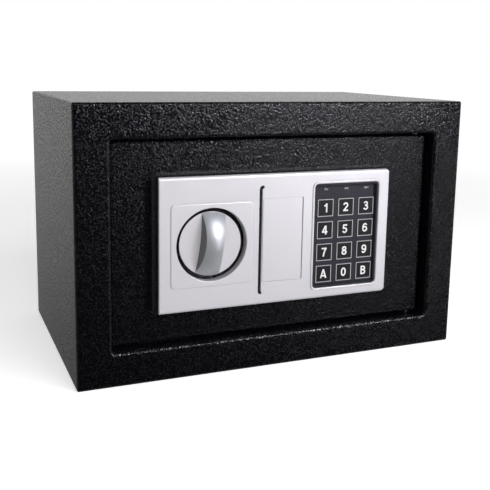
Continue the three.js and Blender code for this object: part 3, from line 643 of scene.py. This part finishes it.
BEAD_HALF, BEAD_RISE, BEAD_ROOT = 2.5, 0.8, 0.2  # half width, height, and depth in the liner
BEAD_CORNER = 8.0
BEAD_MARGIN_X, BEAD_MARGIN_Z, BEAD_TO_TRAY = 12.0, 20.0, 10.0  # round the outer bead
SHORT_BEAD_INSET = 16.0  # from the outer bead


def liner_beads():
    """Stiffening beads pressed into the liner: one round a panel, and three across it."""
    lo, hi = box_mm("door_liner")
    left, right = lo.x + BEAD_MARGIN_X, box_mm("battery_tray")[0].x - BEAD_TO_TRAY
    height = (hi.z - lo.z) - 2 * BEAD_MARGIN_Z
    mid = (lo.z + hi.z) / 2
    top, root, half = hi.y, hi.y - BEAD_ROOT, BEAD_HALF

    panel = Rect((left + right) / 2, mid, right - left, height, BEAD_CORNER)
    across = [(half * math.cos(a), top + BEAD_RISE * math.sin(a)) for a in arc(0, 180, 8)]
    b = Builder()
    rings = b.sweep(panel, [(half, root), *across, (-half, root)])
    b.bridge(rings[-1], rings[0])
    b.finish("liner_bead_outer", "powder_coat", "door")

    dome = [(half * (math.cos(a) - 1), top + BEAD_RISE * math.sin(a)) for a in arc(0, 75, 5)]
    for number, share in enumerate((-0.25, 0.0, 0.25), 1):
        z = mid + share * height
        line = [(left + SHORT_BEAD_INSET, z), (right - SHORT_BEAD_INSET, z)]
        b = Builder()
        b.solid(Slot(line, half), [(0, root), *dome])
        b.finish(f"liner_bead_{number}", "powder_coat", "door")


LID_T, LID_CORNER, LID_EDGE = 2.0, 3.0, 0.9
SKIRT_INSET, SKIRT_WALL, SKIRT_CORNER = 3.5, 1.5, 1.5
FIELD_INSET, FIELD_DEPTH = 6.0, 0.6
RIB_COUNT, RIB_PITCH, RIB_START = 6, 3.0, 11.0
RIB_HALF_W, RIB_HALF_H, RIB_T = 0.7, 12.0, 0.8


def battery_lid():
    """Lid with a sunk field and ribs for a thumb, and the skirt that snaps into the tray."""
    node = "battery_cover"
    lo, hi = box_mm(node)
    top, seat = hi.y, hi.y - LID_T
    b = Builder()
    soft = [(g, 2 * top - d) for g, d in rounding(-LID_EDGE, top, 4)]
    lid = b.sweep(node_rect(node, LID_CORNER), [*soft, (0, seat + 0.2), (-0.2, seat)])
    skirt = node_rect(node, SKIRT_CORNER, -2 * SKIRT_INSET, -2 * SKIRT_INSET)
    outside = b.sweep(skirt, [(0, seat), (0, lo.y + 0.3), (-0.3, lo.y)])
    wall = -SKIRT_WALL
    inside = b.sweep(skirt, [(wall, seat), (wall, lo.y + 0.2), (wall + 0.2, lo.y)])
    b.bridge(outside[-1], inside[-1])
    b.fill(inside[0])
    b.fill(lid[-1], [outside[0]])
    field = node_rect(node, LID_CORNER, -2 * FIELD_INSET, -2 * FIELD_INSET)
    sunk = top - FIELD_DEPTH
    step = b.sweep(field, [(0.3, top), (0, top - 0.1), (-0.1, sunk + 0.1), (-0.4, sunk)])
    b.fill(lid[0], [step[0]])
    b.fill(step[-1])
    b.finish("battery_lid", "black_plastic", "battery_cover", [node])

    b = Builder()
    mid = (lo.z + hi.z) / 2
    for number in range(RIB_COUNT):
        x = lo.x + RIB_START + RIB_PITCH * number
        corner = (x - RIB_HALF_W, top - RIB_T, mid - RIB_HALF_H)
        b.block(corner, (x + RIB_HALF_W, top, mid + RIB_HALF_H), 0.35, 3)
    b.finish("battery_lid_ribs", "black_plastic", "battery_cover")


CELL_TIP, BAND_LENGTH = 1.4, 13.0  # the positive end's tip, and the copper-coloured band


def battery_cell(number):
    """An AA cell: printed sleeve, a copper-coloured band, and nickel ends."""
    node = f"battery_{number}"
    lo, hi = box_mm(node)
    x, y, z = middle_mm(node)
    up = 1 if z > middle_mm("battery_tray")[2] else -1
    foot = lo.z if up > 0 else hi.z
    r, length = (hi.x - lo.x) / 2, hi.z - lo.z
    shoulder = length - CELL_TIP
    band = shoulder - BAND_LENGTH
    plus = [(r - 0.9, shoulder - 0.5), (r - 1.0, shoulder - 0.1), (2.9, shoulder)]
    plus += [(2.6, shoulder + 0.2), (2.5, length - 0.2), (2.2, length)]
    shapes = (
        ("sleeve", [(r - 0.7, 0.2), (r, 0.7), (r, band)], None),
        ("band", [(r, band), (r, shoulder - 0.7), (r - 0.8, shoulder - 0.2)], CELL_BAND),
        ("minus", [(r - 1.3, 0.0), (r - 1.0, 0.1), (r - 0.9, 0.5)], FINISHES["zinc"]),
        ("plus", plus, FINISHES["zinc"]),
    )
    for part, profile, material in shapes:
        b = Builder()
        lathe(b, (x, y, foot), (0, 0, up), profile, 40)
        b.finish(f"{node}_{part}", "cell_sleeve", "door", [node], material)


TAP_R, TAP_DEPTH = 3.4, 14.0


def bolt(place):
    """A turned steel bolt with a chamfered nose, and its tapped end."""
    node = f"bolt_{place}"
    lo, hi = box_mm(node)
    _, y, z = middle_mm(node)
    r, length = (hi.z - lo.z) / 2, hi.x - lo.x
    profile = [(TAP_R, length - TAP_DEPTH), (TAP_R, length - 0.4), (TAP_R + 0.4, length)]
    profile += [(r - 0.4, length), (r, length - 0.4)]
    profile += [(r, 1.6), (r - 0.15, 1.2), (r - 1.1, 0.15), (r - 1.5, 0.0)]
    b = Builder()
    lathe(b, (lo.x, y, z), (1, 0, 0), profile, 64)
    b.finish(f"{node}_bar", "bright_steel", "bolts", [node])


liner_beads()
battery_lid()
for cell_number in range(1, 5):
    battery_cell(cell_number)
for bolt_place in ("upper", "lower"):
    bolt(bolt_place)
door_plate()


# ---- fascia ----

FASCIA_BACK, FASCIA_EDGE = 2.0, 2.2
FASCIA_CORNER, FASCIA_LEFT_CORNER = 2.5, 0.5
SIDE_INSET = 0.2  # how much tighter the rounding is at the ends than along the top and bottom
WELL_R = 26.9
COLLAR_R, COLLAR_BACK = 28.0, 6.0  # the wall round the knob
PANEL = (KNOB_X + 0.2, KNOB_Z - 0.4, 62.2, 60.8, 3.0)  # raised square: x, z, width, height, corner
PANEL_RISE, LIP_RISE = 0.8, 0.7
KEYPAD_X, KEYPAD_Z = 52.8, 98.1
WINDOW = (KEYPAD_X, KEYPAD_Z, 55.6, 81.0, 3.0)
GROOVE_HALF, GROOVE_HOOK = 1.2, 1.5  # finger groove: half its width, and how far its ends hook
GROOVE_FROM_LID, GROOVE_UP, GROOVE_DOWN = 1.7, 40.2, 39.8


def fascia():
    """The silver moulding: a raised square round the knob's well, and a lip round the keypad."""
    lo, hi = box_mm("fascia")
    top = lo.y
    face, back = top + PANEL_RISE, FASCIA_BACK
    outer = node_rect("fascia", FASCIA_CORNER)
    outer.radii = (FASCIA_CORNER, FASCIA_LEFT_CORNER, FASCIA_LEFT_CORNER, FASCIA_CORNER)
    b = Builder()
    edge = [(g * SIDE_INSET, g, d) for g, d in rounding(-FASCIA_EDGE, face, 7)]
    shell = b.sweep(outer, [*edge, (0, back - 0.3), (-0.3, back)])

    crest = face - LIP_RISE
    lip = [(2.05, face), (1.95, face + 0.14), (1.78, face + 0.14)]
    lip += [(1.68, face - 0.03), (1.6, crest), (1.45, crest - 0.05)]
    lip += rounding(0.7, crest - 0.05, 4)
    window_wall = b.sweep(Rect(*WINDOW), [*lip, (0, back)])
    lid = node_rect("override_cover", 0.8, 0.8, 0.3)
    lid_wall = b.sweep(lid, [*rounding(0.2, face, 2), (0, back)])

    well = Disc(KNOB_X, KNOB_Z, WELL_R)
    well_wall = b.sweep(well, [*rounding(0.5, top, 4), (0, COLLAR_BACK)])
    collar = b.sweep(Disc(KNOB_X, KNOB_Z, COLLAR_R), [(0, COLLAR_BACK), (0, back)])
    b.bridge(well_wall[-1], collar[0])
    step = [(0.25, face), (0.12, face + 0.12), (0.03, face + 0.1), (0.0, face - 0.05)]
    step += [(-0.04, top + 0.3), (-0.14, top + 0.12), (-0.32, top + 0.03), (-0.6, top)]
    rise = b.sweep(Rect(*PANEL), step)

    groove = Slot(finger_line(lid), GROOVE_HALF)
    groove_wall = b.sweep(groove, [*rounding(0.3, face, 3), (0, back)])
    cuts = [window_wall, lid_wall, groove_wall]
    b.fill(shell[0], [rise[0], *(wall[0] for wall in cuts)])
    b.fill(rise[-1], [well_wall[0]])
    b.fill(shell[-1], [collar[-1], *(wall[-1] for wall in cuts)])
    b.finish("fascia_shell", "silver_plastic", "door", ["fascia"], sharp=50)


def finger_line(lid):
    """Centre line of the groove beside the override cover, hooked over at both ends."""
    x, hook = lid.cx - lid.w / 2 - GROOVE_FROM_LID, GROOVE_HOOK
    bend, top, bottom = x + hook, lid.cz + GROOVE_UP - hook, lid.cz - GROOVE_DOWN + hook
    upper = [(bend - hook * math.sin(a), top + hook * math.cos(a)) for a in arc(0, 90, 4)]
    lower = [(bend - hook * math.cos(a), bottom - hook * math.sin(a)) for a in arc(0, 60, 3)]
    return upper + [(x, lid.cz)] + lower


BASE_FLARE = BASE_CORNER = 2.5
WELL_FLOOR, LID_FLOOR = 8.2, 7.5
TRAY_POCKET, TRAY_FLOOR = (KEYPAD_X, 98.8, 61.0, 91.0, 3.0), 9.0


def fascia_base():
    """The black plinth behind the fascia, flared at the door, with pockets for what it holds."""
    lo, hi = box_mm("fascia_base")
    front, back, flare = lo.y, hi.y, BASE_FLARE
    outer = node_rect("fascia_base", BASE_CORNER, -2 * flare, -2 * flare)
    b = Builder()
    sides = [(-0.4, front), (0, front + 0.3)]
    sides += [(0.15, back - 2.2), (0.35, back - 1.7), (0.7, back - 1.35)]
    sides += [(flare - 0.4, back - 0.4), (flare - 0.05, back - 0.15), (flare, back)]
    skin = b.sweep(outer, sides)
    well = b.sweep(Disc(KNOB_X, KNOB_Z, COLLAR_R + 0.4), [(0, front), (0, WELL_FLOOR)])
    spindle = b.sweep(Disc(KNOB_X, KNOB_Z, SPINDLE_BORE, 32), [(0, WELL_FLOOR), (0, back)])
    b.fill(well[-1], [spindle[0]])
    pad = b.sweep(Rect(*TRAY_POCKET), [(0, front), (0, TRAY_FLOOR)])
    b.fill(pad[-1])
    pocket = node_rect("override_cover", 1.0, 0.8, 0.6)
    hollow = b.sweep(pocket, [(0, front), (0, LID_FLOOR - 0.3), (-0.3, LID_FLOOR)])
    lock = Disc(LOCK_X, LOCK_Z, LOCK_BORE)
    bore = b.sweep(lock, [(0.3, LID_FLOOR), (0, LID_FLOOR + 0.3), (0, back)])
    b.fill(hollow[-1], [bore[0]])
    b.fill(skin[0], [well[0], pad[0], hollow[0]])
    b.fill(skin[-1], [bore[-1], spindle[-1]])
    b.finish("fascia_plinth", "black_plastic", "door", ["fascia_base"])


COVER_T, CLIP_INSET, CLIP_HALF = 1.0, 2.5, 5.0


def override_cover():
    """The plate over the key lock, with two clips behind it."""
    node = "override_cover"
    lo, hi = box_mm(node)
    face, back = lo.y, lo.y + COVER_T
    b = Builder()
    plate = node_rect(node, 0.6)
    b.solid(plate, [*rounding(-0.22, face, 3), (0, back - 0.2), (-0.2, back)])
    x0, x1 = plate.cx - CLIP_HALF, plate.cx + CLIP_HALF
    for z in (lo.z + CLIP_INSET, hi.z - CLIP_INSET):
        b.block((x0, back - 0.5, z - 0.8), (x1, hi.y, z + 0.8), 0.2)
        b.block((x0, hi.y - 1.3, z - 1.1), (x1, hi.y - 0.5, z + 1.1), 0.2)
    b.finish("snap_cover", "silver_plastic", "override_cover", [node])


fascia()
fascia_base()
override_cover()


# ---- knob ----

CAP_T = 0.7
GRIP_TILT = math.radians(6.3)
GRIP_HALF_END, GRIP_HALF_WAIST = 9.1, 6.55
GRIP_RIM = KNOB_R - 0.3
GRIP_DRAFT = 0.1  # how much the side walls lean out, for each mm down
GRIP_CROWN, GRIP_EDGE = 1.1, 0.6  # how far the strip domes, and the radius of its long edges
GRIP_STEPS, GRIP_ACROSS = 40, 14


def knob_disc():
    """A silver cap glued on the front of a black body, coloured darker than the other black plastic
    as painted shade for the shadow in the knob's well.
    """
    face, back, seam = KNOB_LO.y, KNOB_HI.y, KNOB_LO.y + CAP_T
    b = Builder()
    b.solid(Disc(KNOB_X, KNOB_Z, KNOB_R), [*rounding(-0.3, face, 4), (0, seam)])
    b.finish("knob_face", "silver_plastic", "knob", ["knob_disc"])
    b = Builder()
    side = [(-0.2, seam), (0, seam + 0.2), (0, back - 0.4), (-0.4, back)]
    b.solid(Disc(KNOB_X, KNOB_Z, KNOB_R - 0.25), side)
    b.finish("knob_body", "black_plastic", "knob", ["knob_disc"], KNOB_BLACK_SHADE)


def knob_grip():
    """An arch from rim to rim: sides that lean out, in a darker grey that is painted shade, and a
    crowned strip of plating on top.
    """
    base = KNOB_LO.y + 0.05
    rise = base - box_mm("knob_grip")[0].y
    radius = (GRIP_RIM**2 + rise**2) / (2 * rise)
    cos_tilt, sin_tilt = math.cos(GRIP_TILT), math.sin(GRIP_TILT)
    walls, strip = [], []
    for i in range(GRIP_STEPS + 1):
        s = -math.cos(math.pi * i / GRIP_STEPS)
        height = max(0.02, math.sqrt(radius**2 - (s * GRIP_RIM) ** 2) - (radius - rise))
        half = GRIP_HALF_WAIST + (GRIP_HALF_END - GRIP_HALF_WAIST) * s * s

        def place(x, h):
            z = s * math.sqrt(GRIP_RIM**2 - min(abs(x), GRIP_RIM) ** 2)
            turned_x, turned_z = x * cos_tilt + z * sin_tilt, z * cos_tilt - x * sin_tilt
            return Vector((KNOB_X + turned_x, base - h, KNOB_Z + turned_z))

        edge = min(GRIP_EDGE, height * 0.4)
        crown = GRIP_CROWN * min(1.0, height / 6)
        foot = half + GRIP_DRAFT * height
        inset = min(0.12, height * 0.2)
        rim, flat = height - crown, half - edge
        top = [(flat + edge * math.sin(a), rim - edge * (1 - math.cos(a))) for a in arc(90, 0, 4)]
        across = [flat - flat * 2 * k / GRIP_ACROSS for k in range(1, GRIP_ACROSS)]
        low = rim - edge - inset
        ring = [(half - 0.02, low)] + top
        ring += [(x, height - crown * (x / flat) ** 2) for x in across]
        ring += [(-x, h) for x, h in reversed(top)] + [(-half + 0.02, low)]
        strip.append([place(x, h) for x, h in ring])
        side = [(foot, 0.0), (half + 0.1, low), (half - 0.25, low + inset * 0.3)]
        walls.append([place(x, h) for x, h in side + [(-x, h) for x, h in reversed(side)]])
    # The side walls take the darker grey that is painted shade; the strip takes the plating.
    for part, rings, material in (("sides", walls, GRIP_SIDE_SHADE), ("strip", strip, None)):
        b = Builder()
        b.tube(rings)
        b.finish(f"knob_handle_{part}", "grip_plating", "knob", ["knob_grip"], material, sharp=55)


knob_disc()
knob_grip()


# ---- keypad ----

KEY_NAMES = "1234567890AB"
TRAY_CORNER, TRAY_FACE, TRAY_WALL = 2.0, 3.2, 1.35
TRAY_RIM = (KEYPAD_Z, 55.0, 80.4, 2.7)  # z, width, height and corner
KEY_W, KEY_CORNER, KEY_HOLE, KEY_HOLE_CORNER = 13.7, 0.5, 13.9, 0.9
SKIRT_T, KEY_SKIRT_CORNER = 0.6, 0.8
LAMP_W, LAMP_H, LAMP_PLAY = 4.0, 1.6, 0.4
GUIDE_FRONT, LAMP_BACK = 4.3, 4.6
FRAME_STROKE = 0.8
DISH = 0.16  # how far a key's middle lies below its rim
DIGIT_HEIGHT = 6.9
INK, LAYER = 0.06, 0.003  # thickness of the print, and how far crossing strokes lie apart
PRINT_MERGE = 0.00001  # the print is thinner than the usual merge distance allows


def keypad_tray():
    """The grey membrane with its raised rim, open where the keys and lamps come through."""
    lo, hi = box_mm("keypad_plate")
    rim, floor, back = lo.y, TRAY_FACE, hi.y
    b = Builder()
    outside = node_rect("keypad_plate", TRAY_CORNER)
    wall = Rect(outside.cx, *TRAY_RIM)
    thick = TRAY_WALL
    outer_wall = b.sweep(wall, [(-0.3, rim), (0, rim + 0.3), (0, floor)])
    inner_wall = b.sweep(wall, [(-thick + 0.3, rim), (-thick, rim + 0.3), (-thick - 0.1, floor)])
    b.bridge(outer_wall[0], inner_wall[0])
    plate = b.sweep(outside, [(0, floor), (0, back)])
    b.fill(plate[0], [outer_wall[-1]])
    holes = []
    for name in KEY_NAMES:
        cx, _, cz = middle_mm(f"key_{name}")
        hole = Rect(cx, cz, KEY_HOLE, KEY_HOLE, KEY_HOLE_CORNER, 4)
        holes.append(b.sweep(hole, [(0.1, floor), (0, floor + 0.1), (0, back)]))
    for cx, cz in lamp_places():
        hole = Rect(cx, cz, LAMP_W + LAMP_PLAY, LAMP_H + LAMP_PLAY, 0.3, 3)
        holes.append(b.sweep(hole, [(0, floor), (0, back)]))
    b.fill(inner_wall[-1], [hole[0] for hole in holes])
    b.fill(plate[-1], [hole[-1] for hole in holes])
    b.finish("keypad_tray", "black_plastic", "door", ["keypad_plate"], MEMBRANE_GREY)


def lamp_places():
    """Middles of the three lamps, one above each column of keys."""
    return [(middle_mm(f"key_{n}")[0], middle_mm("indicator_lens")[2]) for n in "123"]


def lamp_lens():
    """A light guide with one window for each lamp."""
    lo, hi = box_mm("indicator_lens")
    b = Builder()
    b.block((lo.x, GUIDE_FRONT, lo.z), hi, 0.2)
    w, h = LAMP_W / 2, LAMP_H / 2
    for cx, cz in lamp_places():
        b.block((cx - w, lo.y, cz - h), (cx + w, LAMP_BACK, cz + h), 0.15)
    b.finish("lamp_lens", "lens", "door", ["indicator_lens"])


def key_cap(name):
    """A square silicone key: body, raised printed frame and printed character."""
    node = f"key_{name}"
    lo, hi = box_mm(node)
    cx, _, cz = middle_mm(node)
    face, flange, back = lo.y, hi.y - SKIRT_T, hi.y
    b = Builder()
    square = Rect(cx, cz, KEY_W, KEY_W, KEY_CORNER, 4)
    field = KEY_W - 2 * FRAME_STROKE
    inner = Rect(cx, cz, field, field, KEY_CORNER / 2, 4)
    walls = b.sweep(square, [(-0.12, face), (0, face + 0.12), (0, flange)])
    dish = b.sweep(inner, [(0.06, face), (0, face + DISH / 2), (-0.35, face + DISH)])
    b.bridge(walls[0], dish[0])
    b.fill(dish[-1])
    skirt = b.sweep(node_rect(node, KEY_SKIRT_CORNER, steps=4), [(0, flange), (0, back)])
    b.fill(skirt[0], [walls[-1]])
    b.fill(skirt[-1])
    b.finish(f"{node}_cap", "key_rubber", node, [node])

    ink = Builder()
    line = ink.sweep(square, [(-0.14, face - 0.01), (-0.14, face - INK), (-0.2, face - 0.08)])
    line += ink.sweep(inner, [(0.14, face - 0.08), (0.08, face - INK), (0.08, face - 0.01)])
    ink.bridge(line[2], line[3])
    ink.bridge(line[5], line[0])
    ink.finish(f"{node}_border", "key_rubber", node, material=GREY_PRINT, merge=PRINT_MERGE)
    digit(name, cx, cz, face + DISH)


STROKE = 0.085  # half the width of a stroke, as a share of the character's height
LOW, HIGH = STROKE, 1 - STROKE


def bow(cx, cy, rx, reach, start, end, steps=14):
    """Part of an ellipse as a stroke's centre line; reach is how far up its outer edge lies."""
    ry = reach - STROKE
    return [(cx + rx * math.cos(a), cy + ry * math.sin(a)) for a in arc(start, end, steps)]


GLYPHS = {  # centre lines of the strokes in a box one unit high
    "0": [bow(0.34, 0.5, 0.235, 0.5, 0, 360, 28)],
    "1": [[(0.42, 0), (0.42, 1)], [(0.12, 0.70), (0.3, 0.79), (0.4, 0.93)]],
    "2": [
        bow(0.34, 0.69, 0.235, 0.31, 175, -35) + [(0.12, LOW)],
        [(0.05, LOW), (0.66, LOW)],
    ],
    "3": [
        bow(0.32, 0.73, 0.205, 0.27, 165, -80) + [(0.24, 0.54)],
        [(0.24, 0.54)] + bow(0.32, 0.3, 0.24, 0.3, 80, -165),
    ],
    "4": [[(0.44, 0.96), (0.1, 0.31)], [(0.03, 0.29), (0.7, 0.29)], [(0.5, 0), (0.5, 1)]],
    "5": [
        [(0.62, HIGH), (0.19, HIGH), (0.14, 0.53)],
        [(0.14, 0.53)] + bow(0.33, 0.33, 0.235, 0.33, 110, -160),
    ],
    "6": [bow(0.34, 0.33, 0.235, 0.33, 0, 360, 24), bow(0.37, 0.5, 0.262, 0.487, 40, 200)],
    "7": [[(0.04, HIGH), (0.66, HIGH)], [(0.6, 0.93), (0.38, 0.5), (0.27, 0)]],
    "8": [
        bow(0.34, 0.735, 0.2, 0.265, 0, 360, 24),
        bow(0.34, 0.29, 0.24, 0.29, 0, 360, 24),
    ],
    "A": [[(0.08, 0), (0.4, 1)], [(0.4, 1), (0.72, 0)], [(0.2, 0.26), (0.6, 0.26)]],
    "B": [
        [(0.14, 0), (0.14, 1)],
        [(0.14, HIGH)] + bow(0.4, 0.735, 0.17, 0.265, 90, -90) + [(0.14, 0.55)],
        [(0.14, 0.52)] + bow(0.4, 0.3, 0.21, 0.3, 90, -90) + [(0.14, LOW)],
    ],
}
GLYPHS["9"] = [[(0.68 - x, 1 - y) for x, y in line] for line in GLYPHS["6"]]


def digit(name, cx, cz, depth):
    """A bold sans-serif character as a thin raised print."""
    strokes = GLYPHS[name]
    reach = [x for line in strokes for x, _ in line]
    middle = (min(reach) + max(reach)) / 2
    tall, half = DIGIT_HEIGHT, STROKE * DIGIT_HEIGHT
    b = Builder()
    for layer, line in enumerate(strokes):
        points = [Vector((cx + (x - middle) * tall, cz + (y - 0.5) * tall)) for x, y in line]
        closed = (points[0] - points[-1]).length < 0.01
        top = depth - INK - LAYER * layer
        first, last = (points[-2], points[1]) if closed else (points[0], points[-1])
        rings = []
        for before, p, after in zip([first, *points], points, [*points[1:], last]):
            a, c = (p - before).normalized(), (after - p).normalized()
            along = (a + c).normalized()
            stretch = 1 / max(0.6, along.dot(c if c.length else a))
            out = Vector((along.y, -along.x)) * half * stretch
            left, right = p + out, p - out
            corners = ((left, depth), (left, top), (right, top), (right, depth))
            rings.append([(q.x, height, q.y) for q, height in corners])
        b.tube(rings, closed=not closed)
    body = f"key_{name}"
    b.finish(f"{body}_print", "key_rubber", body, material=WHITE_PRINT, merge=PRINT_MERGE)


keypad_tray()
lamp_lens()
for key_name in KEY_NAMES:
    key_cap(key_name)


# ---- carried-over CAD nodes ----

EDGE_ROUND = {  # mm
    "powder_coat": 0.35,
    "zinc": 0.25,
    "bright_steel": 0.25,
    "black_plastic": 0.35,
    "red_plastic": 0.3,
    "carpet": 0.5,
    "brass": 0.2,
}


def dress(node, slot):
    """Gives a CAD node its finish and breaks its hard edges."""
    piece = frame["nodes"][node]
    piece.data.materials.clear()
    piece.data.materials.append(FINISHES[slot])
    piece.modifiers.new("weld", "WELD").merge_threshold = 0.00001
    if slot in EDGE_ROUND:
        bevel = piece.modifiers.new("edge_round", "BEVEL")
        bevel.width, bevel.segments = EDGE_ROUND[slot] * MM, 2
        bevel.limit_method, bevel.angle_limit = "ANGLE", math.radians(40)
    for polygon in piece.data.polygons:
        polygon.use_smooth = True
    even_normals(piece)


for row in frame["record"]["subparts"]:
    if not frame["nodes"][row["node"]].hide_render:
        dress(row["node"], row["material_slot"])


# ---- stage, light and camera ----

FLOOR_HALF, FLOOR_DROP = 6.0, 0.0002
FLOOR_FADE = 1.3  # metres from the object to where the floor is as white as the backdrop


def stage_floor():
    """A pale floor that turns into the white of the backdrop away from the object."""
    b = bmesh.new()
    bmesh.ops.create_grid(b, x_segments=2, y_segments=2, size=FLOOR_HALF)
    f = Finish("floor_white")
    place = {"Vector": f.stretched((1 / FLOOR_FADE,) * 3)}
    closeness = f.node("TexGradient", place, gradient_type="SPHERICAL").outputs["Fac"]
    near = f.spread(closeness, 0, 1, (0.0, 0.5))
    f.set(Base_Color=f.mix(near, (0, 0, 0), (0.9, 0.9, 0.9)), Roughness=0.9)
    f.set(Emission_Color=(1, 1, 1, 1), Emission_Strength=f.spread(near, 1.0, 0.6))
    f.set(Specular_IOR_Level=0.1)
    floor = add_mesh("floor", b, f.material)
    floor.location.z = -FLOOR_DROP
    floor.visible_glossy = False


COVE = (  # an axis of the world, from and to which value on it, brightness at either end
    ("Y", -0.7, -0.15, 0.02, 0.93),
    ("X", -0.6, 0.6, 0.47, 1.1),
    ("Z", -0.45, 0.0, 0.3, 1.0),
    ("Z", 0.3, 0.65, 1.0, 0.03),
)
FILL_COLOUR, KEY_COLOUR = (1.0, 0.985, 1.0), (0.98, 0.96, 1.05)
FILL_PLACE, FILL_SIZE, FILL_WATTS = (0.3, -1.4, 0.8), (1.6, 1.2), 30.5
KEY_LIGHTS = (  # reflections only: name, place, side in metres, watts
    ("high_key", (0.30, -0.58, 0.40), 0.1, 2.9),
    ("low_key", (0.36, -0.60, 0.04), 0.1, 0.3),
    ("over_key", (0.45, -0.95, 1.05), 0.7, 3.2),
)
FILL_TARGET, KEY_TARGET = (0, 0, 0.12), (0, -0.1, 0.12)
FLAG_Y, FLAG_X, FLAG_Z = -0.12, (-0.3, 0.5), (0.212, 0.5)


def softbox(name, place, target, size, watts, colour):
    """A rectangular area light turned towards a point."""
    light = bpy.data.lights.new(name, "AREA")
    light.shape = "RECTANGLE"
    light.size, light.size_y = size
    light.energy = watts
    light.color = colour
    lamp = add_object(name, light)
    lamp.location = place
    lamp.rotation_euler = (Vector(target) - Vector(place)).to_track_quat("-Z", "Y").to_euler()
    return lamp


def flag():
    """A card above the front edge that keeps the high key off the cabinet's top."""
    (left, right), (low, high) = FLAG_X, FLAG_Z
    corners = [(left, low), (right, low), (right, high), (left, high)]
    b = bmesh.new()
    b.faces.new([b.verts.new((x, FLAG_Y, z)) for x, z in corners])
    card = add_mesh("flag", b, Finish("flag_black").set(Base_Color=(0, 0, 0, 1)).material)
    card.visible_camera = card.visible_diffuse = False
    return card


def backdrop():
    """A world that is white to the camera, and a cove with a dark front in reflections."""
    world = bpy.data.worlds.new("studio")
    scene.world = world
    n = Nodes(world)
    axes = n.node("SeparateXYZ", {0: n.node("TexCoord").outputs["Generated"]}).outputs
    level = 1.0
    for axis, *values in COVE:
        inputs = dict(enumerate((axes[axis], *values)))
        part = n.node("MapRange", inputs, interpolation_type="SMOOTHSTEP").outputs[0]
        level = n.maths(part, level)
    seen = n.node("LightPath").outputs["Is Camera Ray"]
    strength = n.node("Mix", {"Factor": seen, "A": level, "B": 1.0}).outputs[0]
    shader = n.tree.nodes["Background"]
    n.feed(shader.inputs["Color"], (1, 1, 1, 1))
    n.feed(shader.inputs["Strength"], strength)


def studio():
    """A fill that only lights, and keys that are only seen in reflections."""
    fill = softbox("fill_box", FILL_PLACE, FILL_TARGET, FILL_SIZE, FILL_WATTS, FILL_COLOUR)
    fill.visible_glossy = False
    unflagged = bpy.data.collections.new("unflagged")
    unflagged.objects.link(flag())
    unflagged.collection_objects[0].light_linking.link_state = "EXCLUDE"
    fill.light_linking.blocker_collection = unflagged
    for name, place, side, watts in KEY_LIGHTS:
        key = softbox(name, place, KEY_TARGET, (side, side), watts, KEY_COLOUR)
        key.visible_diffuse = False
        if name != "high_key":
            key.light_linking.blocker_collection = unflagged
    scene.view_settings.view_transform = "Standard"


CAMERA_PLACE = Vector((-0.24579, -0.60239, 0.22671))
AZIMUTH, ELEVATION, ROLL = -22.68, 9.66, 1.0  # degrees; azimuth 0 looks along +Y
LENS, SENSOR = 57.16, 36.0
SHIFT_Y = -0.0998


def camera():
    data = bpy.data.cameras.new("camera")
    data.lens, data.sensor_width, data.shift_y = LENS, SENSOR, SHIFT_Y
    data.clip_start = 0.01
    turn, tip = math.radians(AZIMUTH), math.radians(ELEVATION)
    level = math.cos(tip)
    forward = Vector((-math.sin(turn) * level, math.cos(turn) * level, -math.sin(tip)))
    aim = forward.to_track_quat("-Z", "Y").to_matrix().to_4x4()
    roll = Matrix.Rotation(math.radians(ROLL), 4, "Z")
    piece = add_object("camera", data)
    piece.matrix_world = Matrix.Translation(CAMERA_PLACE) @ aim @ roll
    scene.camera = piece


backdrop()
stage_floor()
studio()
camera()
